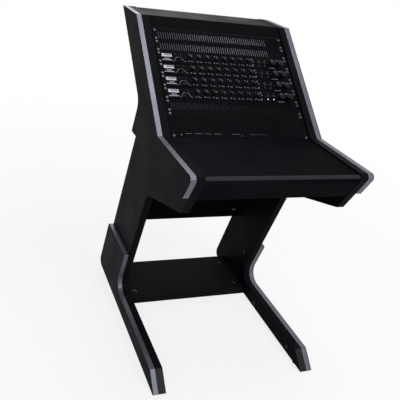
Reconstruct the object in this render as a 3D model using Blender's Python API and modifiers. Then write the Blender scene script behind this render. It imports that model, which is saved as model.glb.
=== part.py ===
# Studio rack sidecar: two Z-shaped side panels with outer cheeks carry a desk,
# a nine-unit sloping rack, a top board, a modesty panel and a floor shelf.
# Units are metres, +Z is up, the front faces -Y and X runs across the desk.
# Profile points are (depth behind the nose, height above the floor).

import math

import bmesh
import bpy
from mathutils import Matrix, Vector

# Clearances
SEAT_GAP = 0.0003
SHAFT_CLEARANCE = 0.0004
KNOB_LIFT = 0.0006
CUT_OVERRUN = 0.005
WELD_DISTANCE = 0.00001

# The rack panel's width sets the bay, and the boards lie beside it
RACK_PANEL_WIDTH = 0.4826
PANEL_SIDE_GAP = 0.0037
PANEL_THICKNESS = 0.025
CHEEK_THICKNESS = 0.019
CHEEK_EDGE = 0.001

# Side profile
DESK_HEIGHT = 0.740
KNEE_DEPTH = 0.270
SLOPE = math.radians(39.24)
TOP_WIDTH = 0.157
NOSE_RADIUS = 0.014
UNDERCUT_ANGLE = math.radians(25.5)
CHIN_DEPTH = 0.0585
CHIN_DROP = 0.138
BELLY_ANGLE = math.radians(18.1)
LEG_LEAN = math.radians(15.9)
LEG_WIDTH = 0.2125
LEG_FRONT_AT_FLOOR = 0.4718
FOOT_TIP_DEPTH = -0.0305
FOOT_FACET_DEPTH = 0.030
FOOT_BAR_TOP = 0.0565
FOOT_UNDERSIDE = 0.006
BELLY_RADIUS = 0.030
ANKLE_RADIUS = 0.048
HEEL_RADIUS = 0.025
BACK_RADIUS = 0.045
CORNER_RADIUS = 0.004
SHARP_RADIUS = 0.0015
EASED_RADIUS = 0.002
UPPER_CHEEK_DROP = 0.077
LOWER_CHEEK_CUT = 0.226
ARC_STEPS = 5

# Boards between the side panels
BOARD_INSET = 0.0045
BOARD_THICKNESS = 0.025
DESK_FRONT_INSET = 0.002
TOP_BOARD_INSET = 0.001
TOP_BOARD_THICKNESS = 0.022
HEADER_THICKNESS = 0.018
FASCIA_THICKNESS = 0.019
FASCIA_DROP = 0.088
DESK_NOSE_RADIUS = 0.011
DESK_REAR_MARGIN = 0.0008
MODESTY_INSET = 0.009
MODESTY_BOTTOM = 0.264
MODESTY_TOP_DROP = 0.140
SHELF_FRONT = 0.403
SHELF_REAR = 0.632

# Rack standard
RACK_UNIT = 0.04445
RACK_UNITS = 9
RACK_PANEL_GAP = 0.0008
RACK_PANEL_THICKNESS = 0.003
RACK_START = -0.002
FLANGE_OVERLAP = 0.0163
RAIL_THICKNESS = 0.002
RAIL_DEPTH = 0.025
HEADER_RISE = 0.0493
HEADER_SEAM = 0.0015
HEADER_EDGE_RADIUS = 0.001

# Vent panels
SLOT_PITCH = 0.008
SLOT_WIDTH = 0.0042
SLOT_HEIGHT = 0.0285
SLOT_COUNT = 56

# Unit chassis
CHASSIS_SIDE_GAP = 0.007
CHASSIS_TOP_GAP = 0.001
CHASSIS_DEPTH = 0.160
CHASSIS_WALL = 0.0012

# Controls on a unit, placed from the centre of its faceplate
CHANNEL_COUNT = 8
CHANNEL_PITCH = 0.0304
CHANNEL_FIRST_X = -0.127
CHANNEL_RISE = 0.0035
CHANNEL_RADIUS = 0.0065
CHANNEL_HEIGHT = 0.012
MAIN_KNOB_X = (0.174, 0.203)
MAIN_KNOB_RISE = -0.001
MAIN_KNOB_RADIUS = 0.0120
MAIN_KNOB_HEIGHT = 0.017
KNOB_TAPER = 0.0012
KNOB_CROWN = 0.001
KNOB_SKIRT_HEIGHT = 0.0028
KNOB_SKIRT_STEP = 0.0006
SHAFT_RADIUS = 0.003
SHAFT_REACH = 0.009
POINTER_WIDTH = 0.0014
POINTER_DEPTH = 0.0008
POINTER_START = 0.0012
POINTER_LENGTH = 0.0072
BUTTON_X = (0.1265, 0.1485)
BUTTON_RISE = 0.004
BUTTON_SIZE = 0.0085
BUTTON_HEIGHT = 0.0045
BUTTON_REACH = 0.006
BUTTON_EDGE = 0.0008
JACK_X = -0.166
JACK_RISE = -0.005
JACK_RADIUS = 0.0095
JACK_BORE = 0.0034
JACK_HEIGHT = 0.003
JACK_RECESS = 0.0022

# Glides
GLIDE_RADIUS = 0.011
GLIDE_FRONT_DEPTH = 0.022
GLIDE_REAR_DEPTH = 0.640
GLIDE_STEM_RADIUS = 0.004
GLIDE_STEM_LENGTH = 0.020
GLIDE_BASE_LIP = 0.0012

# Cam locks that draw the boards to the side panels
CAM_RADIUS = 0.0075
CAM_LENGTH = 0.012
CAM_FROM_END = 0.034
CAM_STAND = 0.0006
SHELF_CAM_FRONT = 0.040
SHELF_CAM_REAR = 0.180
MODESTY_CAM_RISE = 0.044
CAM_SLOT_WIDTH = 0.0016
CAM_SLOT_DEPTH = 0.001

# Sides of the round pieces
MAIN_KNOB_SIDES = 20
SMALL_KNOB_SIDES = 12
BORE_SIDES = 12
DISC_SIDES = 16

# Values that follow from the ones above
BAY_WIDTH = RACK_PANEL_WIDTH + 2 * PANEL_SIDE_GAP
HALF_BAY = BAY_WIDTH / 2
RACK_CLEAR_WIDTH = RACK_PANEL_WIDTH - 2 * FLANGE_OVERLAP
CHASSIS_WIDTH = RACK_CLEAR_WIDTH - 2 * CHASSIS_SIDE_GAP
CHASSIS_HEIGHT = RACK_UNIT - 2 * CHASSIS_TOP_GAP
BOARD_WIDTH = BAY_WIDTH - 2 * SEAT_GAP
RACK_PANEL_BACK = -BOARD_INSET - RACK_PANEL_THICKNESS
RAIL_FRONT = RACK_PANEL_BACK - SEAT_GAP
RACK_END = RACK_START + RACK_UNITS * RACK_UNIT
FACE_LENGTH = RACK_END + HEADER_RISE
TOP_HEIGHT = DESK_HEIGHT + FACE_LENGTH * math.sin(SLOPE)
TOP_FRONT_DEPTH = KNEE_DEPTH + FACE_LENGTH * math.cos(SLOPE)
TOP_REAR_DEPTH = TOP_FRONT_DEPTH + TOP_WIDTH
CHIN_HEIGHT = DESK_HEIGHT - CHIN_DROP
UPPER_CHEEK_CUT = DESK_HEIGHT - UPPER_CHEEK_DROP
FASCIA_BOTTOM = DESK_HEIGHT - FASCIA_DROP
MODESTY_TOP = DESK_HEIGHT - MODESTY_TOP_DROP


# Empty the scene, then open the two collections
for old in list(bpy.data.objects):
    bpy.data.objects.remove(old, do_unlink=True)

PARTS = bpy.data.collections.new("studio_rack_sidecar")
CUTTERS = bpy.data.collections.new("cutters")
bpy.context.scene.collection.children.link(PARTS)
bpy.context.scene.collection.children.link(CUTTERS)


# Finishes
def finish(name, colour, roughness, metallic=0.0):
    material = bpy.data.materials.new(name)
    material.use_nodes = True
    shader = material.node_tree.nodes["Principled BSDF"]
    shader.inputs["Base Color"].default_value = (*colour, 1.0)
    shader.inputs["Roughness"].default_value = roughness
    shader.inputs["Metallic"].default_value = metallic
    material.diffuse_color = (*colour, 1.0)
    return material


BLACK_BOARD = finish("black_board", (0.012, 0.012, 0.015), 0.55)
SILVER_LACQUER = finish("silver_lacquer", (0.27, 0.28, 0.33), 0.42, 0.35)
DESK_SKIN = finish("desk_skin", (0.014, 0.014, 0.018), 0.5)
RACK_PAINT = finish("rack_paint", (0.02, 0.02, 0.024), 0.45, 0.1)
CHASSIS_STEEL = finish("chassis_steel", (0.05, 0.05, 0.055), 0.4, 0.7)
RAIL_STEEL = finish("rail_steel", (0.04, 0.04, 0.045), 0.4, 0.7)
KNOB_PLASTIC = finish("knob_plastic", (0.015, 0.015, 0.017), 0.35)
BUTTON_PLASTIC = finish("button_plastic", (0.03, 0.03, 0.034), 0.4)
CAM_METAL = finish("cam_metal", (0.62, 0.62, 0.64), 0.3, 1.0)
GLIDE_PLASTIC = finish("glide_plastic", (0.03, 0.03, 0.03), 0.6)


# An empty that holds a drawing frame for its children
def empty(name, parent, location, tilt=0.0):
    frame = bpy.data.objects.new(name, None)
    frame.location = location
    frame.rotation_euler = (tilt, 0.0, 0.0)
    frame.parent = parent
    PARTS.objects.link(frame)
    return frame


def add_object(name, mesh, parent, location=(0.0, 0.0, 0.0), material=None, cutter=False):
    made = bpy.data.objects.new(name, mesh)
    made.parent = parent
    made.location = location
    if material is not None:
        mesh.materials.clear()
        mesh.materials.append(material)
    if cutter:
        made.hide_render = True
        made.display_type = "WIRE"
        CUTTERS.objects.link(made)
    else:
        PARTS.objects.link(made)
    return made


def mesh_from(build, name):
    work = bmesh.new()
    build(work)
    bmesh.ops.recalc_face_normals(work, faces=work.faces)
    mesh = bpy.data.meshes.new(name)
    work.to_mesh(mesh)
    work.free()
    return mesh


def box_mesh(name, size, centre=(0.0, 0.0, 0.0)):
    def build(work):
        bmesh.ops.create_cube(work, size=1.0)
        bmesh.ops.scale(work, vec=Vector(size), verts=work.verts)
        bmesh.ops.translate(work, vec=Vector(centre), verts=work.verts)
    return mesh_from(build, name)


def cylinder_mesh(name, radius, low, high, segments, x=0.0, y=0.0):
    def build(work):
        bmesh.ops.create_cone(
            work, cap_ends=True, segments=segments, radius1=radius, radius2=radius, depth=high - low)
        bmesh.ops.translate(work, vec=Vector((x, y, (low + high) / 2)), verts=work.verts)
    return mesh_from(build, name)


def joined_mesh(name, meshes):
    work = bmesh.new()
    for mesh in meshes:
        work.from_mesh(mesh)
        bpy.data.meshes.remove(mesh)
    joined = bpy.data.meshes.new(name)
    work.to_mesh(joined)
    work.free()
    return joined


def bevel(target, width, segments=1, angle=math.radians(50)):
    edge = target.modifiers.new("edges", "BEVEL")
    edge.width = width
    edge.segments = segments
    edge.limit_method = "ANGLE"
    edge.angle_limit = angle
    edge.use_clamp_overlap = True
    return edge


def boolean(target, other, operation):
    cut = target.modifiers.new(operation.lower(), "BOOLEAN")
    cut.operation = operation
    cut.solver = "EXACT"
    cut.object = other
    return cut


def shade_round(mesh):
    mesh.shade_smooth()
    mesh.set_sharp_from_angle(angle=math.radians(35))


# Outlines
def line_crossing(point_a, angle_a, point_b, angle_b):
    """Crossing of two lines, each given by a point and its angle from +depth."""
    dir_a = (math.cos(angle_a), math.sin(angle_a))
    dir_b = (math.cos(angle_b), math.sin(angle_b))
    across = dir_a[0] * dir_b[1] - dir_a[1] * dir_b[0]
    gap = (point_b[0] - point_a[0], point_b[1] - point_a[1])
    run = (gap[0] * dir_b[1] - gap[1] * dir_b[0]) / across
    return (point_a[0] + run * dir_a[0], point_a[1] + run * dir_a[1])


def rounded_outline(corners):
    """Replace each (depth, height, radius) corner by an arc of ARC_STEPS steps."""
    outline = []
    count = len(corners)
    for index, (depth, height, radius) in enumerate(corners):
        here = Vector((depth, height))
        before = Vector(corners[index - 1][:2]) - here
        after = Vector(corners[(index + 1) % count][:2]) - here
        before.normalize()
        after.normalize()
        if radius <= 0.0:
            outline.append((here.x, here.y))
            continue
        half_angle = before.angle(after) / 2
        middle = (before + after).normalized()
        centre = here + middle * (radius / math.sin(half_angle))
        reach = radius / math.tan(half_angle)
        start = here + before * reach - centre
        end = here + after * reach - centre
        turn = start.angle_signed(end)
        for step in range(ARC_STEPS + 1):
            angle = -turn * step / ARC_STEPS
            spun = Matrix.Rotation(angle, 2) @ start
            outline.append((centre.x + spun.x, centre.y + spun.y))
    return outline


def clip_outline(outline, height, keep_above):
    """The part of an outline above or below a level cut."""
    kept = []
    sign = 1.0 if keep_above else -1.0
    for index, here in enumerate(outline):
        before = outline[index - 1]
        side_here = sign * (here[1] - height)
        side_before = sign * (before[1] - height)
        if (side_here > 0.0) != (side_before > 0.0):
            share = side_before / (side_before - side_here)
            depth = before[0] + share * (here[0] - before[0])
            kept.append((depth, height))
        if side_here > 0.0:
            kept.append(here)
    return kept


def flat_mesh(name, outline, thickness):
    """A filled outline in the depth-height plane, with its thickness across."""
    curve = bpy.data.curves.new(name, "CURVE")
    curve.dimensions = "2D"
    curve.fill_mode = "BOTH"
    curve.extrude = thickness / 2
    spline = curve.splines.new("POLY")
    spline.points.add(len(outline) - 1)
    for point, (depth, height) in zip(spline.points, outline):
        point.co = (depth, height, 0.0, 1.0)
    spline.use_cyclic_u = True
    guide = bpy.data.objects.new(name + "_outline", curve)
    CUTTERS.objects.link(guide)
    bpy.context.view_layer.update()
    graph = bpy.context.evaluated_depsgraph_get()
    mesh = bpy.data.meshes.new_from_object(guide.evaluated_get(graph))
    bpy.data.objects.remove(guide, do_unlink=True)
    upright = Matrix(((0, 0, 1, 0), (1, 0, 0, 0), (0, 1, 0, 0), (0, 0, 0, 1)))
    work = bmesh.new()
    work.from_mesh(mesh)
    bmesh.ops.remove_doubles(work, verts=work.verts, dist=WELD_DISTANCE)
    bmesh.ops.transform(work, matrix=upright, verts=work.verts)
    bmesh.ops.dissolve_limit(work, angle_limit=0.001, verts=work.verts, edges=work.edges)
    bmesh.ops.recalc_face_normals(work, faces=work.faces)
    work.to_mesh(mesh)
    work.free()
    mesh.name = name
    return mesh


# The undercut runs from the chin up to the nose at the desk's height
NOSE_CORNER = line_crossing(
    (CHIN_DEPTH, CHIN_HEIGHT), math.pi / 2 + UNDERCUT_ANGLE, (0.0, DESK_HEIGHT), 0.0)
LEG_FOOT_FRONT = (LEG_FRONT_AT_FLOOR, 0.0)
LEG_FOOT_REAR = (LEG_FRONT_AT_FLOOR + LEG_WIDTH / math.cos(LEG_LEAN), 0.0)
LEG_ANGLE = math.pi / 2 + LEG_LEAN
BELLY_CORNER = line_crossing((CHIN_DEPTH, CHIN_HEIGHT), -BELLY_ANGLE, LEG_FOOT_FRONT, LEG_ANGLE)
ANKLE_CORNER = line_crossing(LEG_FOOT_FRONT, LEG_ANGLE, (0.0, FOOT_BAR_TOP), 0.0)
HEEL_CORNER = line_crossing(LEG_FOOT_REAR, LEG_ANGLE, (0.0, FOOT_UNDERSIDE), 0.0)
BACK_CORNER = line_crossing(LEG_FOOT_REAR, LEG_ANGLE, (TOP_REAR_DEPTH, TOP_HEIGHT), SLOPE)

SIDE_OUTLINE = rounded_outline([
    (*NOSE_CORNER, NOSE_RADIUS),
    (KNEE_DEPTH, DESK_HEIGHT, CORNER_RADIUS),
    (TOP_FRONT_DEPTH, TOP_HEIGHT, CORNER_RADIUS),
    (TOP_REAR_DEPTH, TOP_HEIGHT, SHARP_RADIUS),
    (*BACK_CORNER, BACK_RADIUS),
    (*HEEL_CORNER, HEEL_RADIUS),
    (FOOT_TIP_DEPTH, FOOT_UNDERSIDE, SHARP_RADIUS),
    (FOOT_FACET_DEPTH, FOOT_BAR_TOP, CORNER_RADIUS),
    (*ANKLE_CORNER, ANKLE_RADIUS),
    (*BELLY_CORNER, BELLY_RADIUS),
    (CHIN_DEPTH, CHIN_HEIGHT, CORNER_RADIUS),
])

# The origin lies on the floor, midway between the foot's tip and the top's rear edge
DEPTH_CENTRE = (min(SIDE_OUTLINE)[0] + max(SIDE_OUTLINE)[0]) / 2
DESK_FRAME = empty("desk_frame", None, (0.0, -DEPTH_CENTRE, 0.0))
RACK_FRAME = empty("rack_frame", DESK_FRAME, (0.0, KNEE_DEPTH, DESK_HEIGHT), SLOPE)


# Side panels, with a bore in the foot for each glide's stem
def glide_places():
    return (("front", GLIDE_FRONT_DEPTH), ("rear", GLIDE_REAR_DEPTH))


def make_side_panel(side, sign):
    centre_x = sign * (HALF_BAY + PANEL_THICKNESS / 2)
    mesh = flat_mesh(f"side_panel_{side}", SIDE_OUTLINE, PANEL_THICKNESS)
    panel = add_object(f"side_panel_{side}", mesh, DESK_FRAME, (centre_x, 0.0, 0.0), BLACK_BOARD)
    bores = []
    for place, depth in glide_places():
        bores.append(cylinder_mesh(
            f"bore_{side}_{place}", GLIDE_STEM_RADIUS + SHAFT_CLEARANCE,
            FOOT_UNDERSIDE - CUT_OVERRUN, FOOT_UNDERSIDE + GLIDE_STEM_LENGTH + SHAFT_CLEARANCE,
            BORE_SIDES, y=depth))
    cutter = add_object(
        f"glide_bores_{side}", joined_mesh("bores", bores), DESK_FRAME,
        (centre_x, 0.0, 0.0), cutter=True)
    boolean(panel, cutter, "DIFFERENCE")


# Silver cheeks on the outer faces: one round the desk and rack, one round the foot
def make_cheek(side, sign, level, keep_above):
    region = "upper" if keep_above else "lower"
    outline = clip_outline(SIDE_OUTLINE, level, keep_above)
    mesh = flat_mesh(f"{region}_cheek_{side}", outline, CHEEK_THICKNESS)
    centre_x = sign * (HALF_BAY + PANEL_THICKNESS + SEAT_GAP + CHEEK_THICKNESS / 2)
    cheek = add_object(
        f"{region}_cheek_{side}", mesh, DESK_FRAME, (centre_x, 0.0, 0.0), SILVER_LACQUER)
    bevel(cheek, CHEEK_EDGE)
    weld = cheek.modifiers.new("corners", "WELD")
    weld.merge_threshold = WELD_DISTANCE


for side_name, side_sign in (("left", -1.0), ("right", 1.0)):
    make_side_panel(side_name, side_sign)
    make_cheek(side_name, side_sign, UPPER_CHEEK_CUT, True)
    make_cheek(side_name, side_sign, LOWER_CHEEK_CUT, False)


# Boards between the side panels, drawn as outlines and thickened across the bay
def make_board(name, corners, material):
    mesh = flat_mesh(name, rounded_outline(corners), BOARD_WIDTH)
    return add_object(name, mesh, DESK_FRAME, material=material)


def undercut_depth(height, inset=0.0):
    run = (height - CHIN_HEIGHT) * math.tan(UNDERCUT_ANGLE)
    return CHIN_DEPTH - run + inset / math.cos(UNDERCUT_ANGLE)


DESK_TOP = DESK_HEIGHT - BOARD_INSET
DESK_UNDER = DESK_TOP - BOARD_THICKNESS
RACK_FOOT_DEPTH = (
    KNEE_DEPTH + RACK_START * math.cos(SLOPE) + BOARD_INSET * math.sin(SLOPE))
DESK_REAR = RACK_FOOT_DEPTH - DESK_REAR_MARGIN
FASCIA_BACK_INSET = DESK_FRONT_INSET + FASCIA_THICKNESS

make_board("desk_top", [
    (undercut_depth(DESK_TOP, DESK_FRONT_INSET), DESK_TOP, DESK_NOSE_RADIUS),
    (DESK_REAR, DESK_TOP, 0.0),
    (DESK_REAR, DESK_UNDER, 0.0),
    (undercut_depth(DESK_UNDER, DESK_FRONT_INSET), DESK_UNDER, 0.0),
], DESK_SKIN)

FASCIA_TOP = DESK_UNDER - SEAT_GAP
make_board("desk_fascia", [
    (undercut_depth(FASCIA_TOP, DESK_FRONT_INSET), FASCIA_TOP, 0.0),
    (undercut_depth(FASCIA_TOP, FASCIA_BACK_INSET), FASCIA_TOP, 0.0),
    (undercut_depth(FASCIA_BOTTOM, FASCIA_BACK_INSET), FASCIA_BOTTOM, 0.0),
    (undercut_depth(FASCIA_BOTTOM, DESK_FRONT_INSET), FASCIA_BOTTOM, EASED_RADIUS),
], DESK_SKIN)


def leg_rear_depth(height, inset):
    return LEG_FOOT_REAR[0] - height * math.tan(LEG_LEAN) - inset / math.cos(LEG_LEAN)


MODESTY_FRONT_INSET = MODESTY_INSET + BOARD_THICKNESS
make_board("modesty_panel", [
    (leg_rear_depth(MODESTY_BOTTOM, MODESTY_FRONT_INSET), MODESTY_BOTTOM, 0.0),
    (leg_rear_depth(MODESTY_TOP, MODESTY_FRONT_INSET), MODESTY_TOP, 0.0),
    (leg_rear_depth(MODESTY_TOP, MODESTY_INSET), MODESTY_TOP, 0.0),
    (leg_rear_depth(MODESTY_BOTTOM, MODESTY_INSET), MODESTY_BOTTOM, 0.0),
], BLACK_BOARD)

SHELF_TOP = FOOT_UNDERSIDE + BOARD_THICKNESS
make_board("bottom_shelf", [
    (SHELF_FRONT, FOOT_UNDERSIDE, 0.0),
    (SHELF_FRONT, SHELF_TOP, EASED_RADIUS),
    (SHELF_REAR, SHELF_TOP, 0.0),
    (SHELF_REAR, FOOT_UNDERSIDE, 0.0),
], BLACK_BOARD)

# The top board and the header meet on the rack's front plane. The top board lies almost
# level with the side panels above and behind
TOP_SURFACE = TOP_HEIGHT - TOP_BOARD_INSET
TOP_UNDER = TOP_SURFACE - TOP_BOARD_THICKNESS
FACE_POINT = (
    KNEE_DEPTH + BOARD_INSET * math.sin(SLOPE), DESK_HEIGHT - BOARD_INSET * math.cos(SLOPE))
TOP_BOARD_FRONT = line_crossing(FACE_POINT, SLOPE, (0.0, TOP_SURFACE), 0.0)
HEADER_FRONT = line_crossing(FACE_POINT, SLOPE, (0.0, TOP_UNDER - SEAT_GAP), 0.0)
TOP_BOARD_LOWER = line_crossing(FACE_POINT, SLOPE, (0.0, TOP_UNDER), 0.0)
REAR_POINT = (TOP_REAR_DEPTH - TOP_BOARD_INSET / math.sin(SLOPE), TOP_HEIGHT)
TOP_BOARD_REAR_LOW = line_crossing(REAR_POINT, SLOPE, (0.0, TOP_UNDER), 0.0)
TOP_BOARD_REAR_TOP = line_crossing(REAR_POINT, SLOPE, (0.0, TOP_SURFACE), 0.0)

make_board("top_board", [
    (*TOP_BOARD_FRONT, EASED_RADIUS),
    (*TOP_BOARD_REAR_TOP, EASED_RADIUS),
    (*TOP_BOARD_REAR_LOW, 0.0),
    (*TOP_BOARD_LOWER, 0.0),
], BLACK_BOARD)


def on_rack(rise, inward):
    """Depth and height of a point up the rack face and behind its front plane."""
    return (
        KNEE_DEPTH + rise * math.cos(SLOPE) + inward * math.sin(SLOPE),
        DESK_HEIGHT + rise * math.sin(SLOPE) - inward * math.cos(SLOPE))


HEADER_LOW = RACK_END + HEADER_SEAM
HEADER_BACK = BOARD_INSET + HEADER_THICKNESS
make_board("header_panel", [
    (*on_rack(HEADER_LOW, BOARD_INSET), HEADER_EDGE_RADIUS),
    (*HEADER_FRONT, 0.0),
    (*line_crossing(on_rack(0.0, HEADER_BACK), SLOPE, HEADER_FRONT, 0.0), 0.0),
    (*on_rack(HEADER_LOW, HEADER_BACK), 0.0),
], BLACK_BOARD)


# Rack rails: angles on the inner faces, whose front flanges take the panel screws
def make_rail(side, sign):
    flange_width = HALF_BAY - SEAT_GAP - RACK_CLEAR_WIDTH / 2
    flange_centre = (RACK_CLEAR_WIDTH / 2 + flange_width / 2, 0.0, -RAIL_THICKNESS / 2)
    length = RACK_UNITS * RACK_UNIT

    def build(work):
        bmesh.ops.create_cube(work, size=1.0)
        size = Vector((flange_width, length, RAIL_THICKNESS))
        bmesh.ops.scale(work, vec=size, verts=work.verts)
        bmesh.ops.translate(work, vec=Vector(flange_centre), verts=work.verts)
        back = [face for face in work.faces if face.normal.z < -0.5]
        wall = HALF_BAY - SEAT_GAP - RAIL_THICKNESS
        bmesh.ops.bisect_plane(
            work, geom=back + list(back[0].edges) + list(back[0].verts),
            plane_co=(wall, 0.0, 0.0), plane_no=(1.0, 0.0, 0.0))
        strip = [face for face in work.faces
                 if face.normal.z < -0.5 and face.calc_center_median().x > wall]
        pulled = bmesh.ops.extrude_face_region(work, geom=strip)
        moved = [item for item in pulled["geom"] if isinstance(item, bmesh.types.BMVert)]
        bmesh.ops.delete(work, geom=strip, context="FACES")
        bmesh.ops.translate(work, vec=Vector((0.0, 0.0, RAIL_THICKNESS - RAIL_DEPTH)), verts=moved)
        bmesh.ops.scale(work, vec=Vector((sign, 1.0, 1.0)), verts=work.verts)
    mesh = mesh_from(build, f"rack_rail_{side}")
    add_object(
        f"rack_rail_{side}", mesh, RACK_FRAME,
        (0.0, RACK_START + length / 2, RAIL_FRONT), RAIL_STEEL)


for side_name, side_sign in (("left", -1.0), ("right", 1.0)):
    make_rail(side_name, side_sign)


# Rack panels: each is placed by the number of the unit at its lower edge
def panel_centre(first_unit, units):
    return RACK_START + (first_unit + units / 2) * RACK_UNIT


def panel_mesh(name, units):
    height = units * RACK_UNIT - RACK_PANEL_GAP
    return box_mesh(
        name, (RACK_PANEL_WIDTH, height, RACK_PANEL_THICKNESS),
        (0.0, 0.0, -RACK_PANEL_THICKNESS / 2))


def make_vent(name, unit):
    centre = (0.0, panel_centre(unit, 1), -BOARD_INSET)
    vent = add_object(name, panel_mesh(name, 1), RACK_FRAME, centre, RACK_PAINT)
    slots = []
    for index in range(SLOT_COUNT):
        across = (index - (SLOT_COUNT - 1) / 2) * SLOT_PITCH
        slots.append(box_mesh(
            "slot", (SLOT_WIDTH, SLOT_HEIGHT, 2 * (RACK_PANEL_THICKNESS + CUT_OVERRUN)),
            (across, 0.0, 0.0)))
    cutter = add_object(
        name + "_slots", joined_mesh("slots", slots), RACK_FRAME, centre, cutter=True)
    boolean(vent, cutter, "DIFFERENCE")


make_vent("vent_panel_top", 8)
make_vent("vent_panel_second", 7)
make_vent("vent_panel_lower", 2)

control_panel = add_object(
    "control_panel", panel_mesh("control_panel", 2), RACK_FRAME,
    (0.0, panel_centre(0, 2), -BOARD_INSET), RACK_PAINT)


# Turned pieces: a profile of (radius, height) from the top of the axis to its foot
def turned_object(name, profile, steps, parent, location, material):
    mesh = bpy.data.meshes.new(name)
    points = [(radius, 0.0, height) for radius, height in profile]
    links = [(index, index + 1) for index in range(len(points) - 1)]
    mesh.from_pydata(points, links, [])
    piece = add_object(name, mesh, parent, location, material)
    spin = piece.modifiers.new("turn", "SCREW")
    spin.axis = "Z"
    spin.steps = steps
    spin.render_steps = steps
    spin.use_merge_vertices = True
    spin.merge_threshold = WELD_DISTANCE
    spin.use_smooth_shade = True
    return piece


def knob_profile(radius, height):
    body = radius - KNOB_SKIRT_STEP
    top = body - KNOB_TAPER
    return [
        (0.0, height), (top - KNOB_CROWN, height), (top, height - KNOB_CROWN),
        (body, KNOB_SKIRT_HEIGHT + KNOB_SKIRT_STEP), (radius, KNOB_SKIRT_HEIGHT),
        (radius, KNOB_LIFT), (SHAFT_RADIUS, KNOB_LIFT), (SHAFT_RADIUS, -SHAFT_REACH),
        (0.0, -SHAFT_REACH)]


def make_main_knob(name, x, y):
    knob = turned_object(
        name, knob_profile(MAIN_KNOB_RADIUS, MAIN_KNOB_HEIGHT), MAIN_KNOB_SIDES,
        RACK_FRAME, (x, y, -BOARD_INSET), KNOB_PLASTIC)
    notch = box_mesh(
        name + "_pointer", (POINTER_WIDTH, POINTER_LENGTH, 2 * POINTER_DEPTH),
        (0.0, POINTER_START + POINTER_LENGTH / 2, MAIN_KNOB_HEIGHT))
    cutter = add_object(
        name + "_pointer", notch, RACK_FRAME, (x, y, -BOARD_INSET), cutter=True)
    boolean(knob, cutter, "DIFFERENCE")


def make_channel_knob(name, x, y):
    turned_object(
        name, knob_profile(CHANNEL_RADIUS, CHANNEL_HEIGHT), SMALL_KNOB_SIDES,
        RACK_FRAME, (x, y, -BOARD_INSET), KNOB_PLASTIC)


def make_button(name, x, y):
    length = BUTTON_HEIGHT + BUTTON_REACH
    mesh = box_mesh(
        name, (BUTTON_SIZE, BUTTON_SIZE, length), (0.0, 0.0, BUTTON_HEIGHT - length / 2))
    button = add_object(name, mesh, RACK_FRAME, (x, y, -BOARD_INSET), BUTTON_PLASTIC)
    bevel(button, BUTTON_EDGE)


def channel_places():
    return [CHANNEL_FIRST_X + index * CHANNEL_PITCH for index in range(CHANNEL_COUNT)]


# Units: a faceplate, the chassis behind it and the controls through its holes
def make_faceplate(number, centre_y, channel_knobs_turn):
    name = f"unit_{number}_faceplate"
    centre = (0.0, centre_y, -BOARD_INSET)
    plate = add_object(name, panel_mesh(name, 1), RACK_FRAME, centre, RACK_PAINT)
    deep = RACK_PANEL_THICKNESS + CUT_OVERRUN
    holes = []
    for x in MAIN_KNOB_X:
        holes.append(cylinder_mesh(
            "hole", SHAFT_RADIUS + SHAFT_CLEARANCE, -deep, deep, BORE_SIDES, x, MAIN_KNOB_RISE))
    window = BUTTON_SIZE + 2 * SHAFT_CLEARANCE
    for x in BUTTON_X:
        holes.append(box_mesh("hole", (window, window, 2 * deep), (x, BUTTON_RISE, 0.0)))
    holes.append(cylinder_mesh(
        "recess", JACK_BORE, JACK_HEIGHT - JACK_RECESS, deep, BORE_SIDES, JACK_X, JACK_RISE))
    if channel_knobs_turn:
        for x in channel_places():
            holes.append(cylinder_mesh(
                "hole", SHAFT_RADIUS + SHAFT_CLEARANCE, -deep, deep, BORE_SIDES,
                x, CHANNEL_RISE))
    else:
        fixed = []
        for x in channel_places():
            fixed.append(cylinder_mesh(
                "knob", CHANNEL_RADIUS, -RACK_PANEL_THICKNESS / 2, CHANNEL_HEIGHT,
                SMALL_KNOB_SIDES, x, CHANNEL_RISE))
        knobs = add_object(
            name + "_knobs", joined_mesh("knobs", fixed), RACK_FRAME, centre, cutter=True)
        boolean(plate, knobs, "UNION")
    ring = add_object(
        name + "_jack_ring",
        cylinder_mesh("ring", JACK_RADIUS, -RACK_PANEL_THICKNESS / 2, JACK_HEIGHT, DISC_SIDES,
                      JACK_X, JACK_RISE),
        RACK_FRAME, centre, cutter=True)
    boolean(plate, ring, "UNION")
    cutter = add_object(
        name + "_holes", joined_mesh("holes", holes), RACK_FRAME, centre, cutter=True)
    boolean(plate, cutter, "DIFFERENCE")


def make_chassis(number, centre_y):
    def build(work):
        bmesh.ops.create_cube(work, size=1.0)
        size = Vector((CHASSIS_WIDTH, CHASSIS_HEIGHT, CHASSIS_DEPTH))
        bmesh.ops.scale(work, vec=size, verts=work.verts)
        front = [face for face in work.faces if face.normal.z > 0.5]
        bmesh.ops.delete(work, geom=front, context="FACES_ONLY")
    mesh = mesh_from(build, f"unit_{number}_chassis")
    chassis = add_object(
        f"unit_{number}_chassis", mesh, RACK_FRAME,
        (0.0, centre_y, RAIL_FRONT - CHASSIS_DEPTH / 2), CHASSIS_STEEL)
    wall = chassis.modifiers.new("wall", "SOLIDIFY")
    wall.thickness = CHASSIS_WALL
    wall.offset = -1.0
    wall.use_even_offset = True


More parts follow.
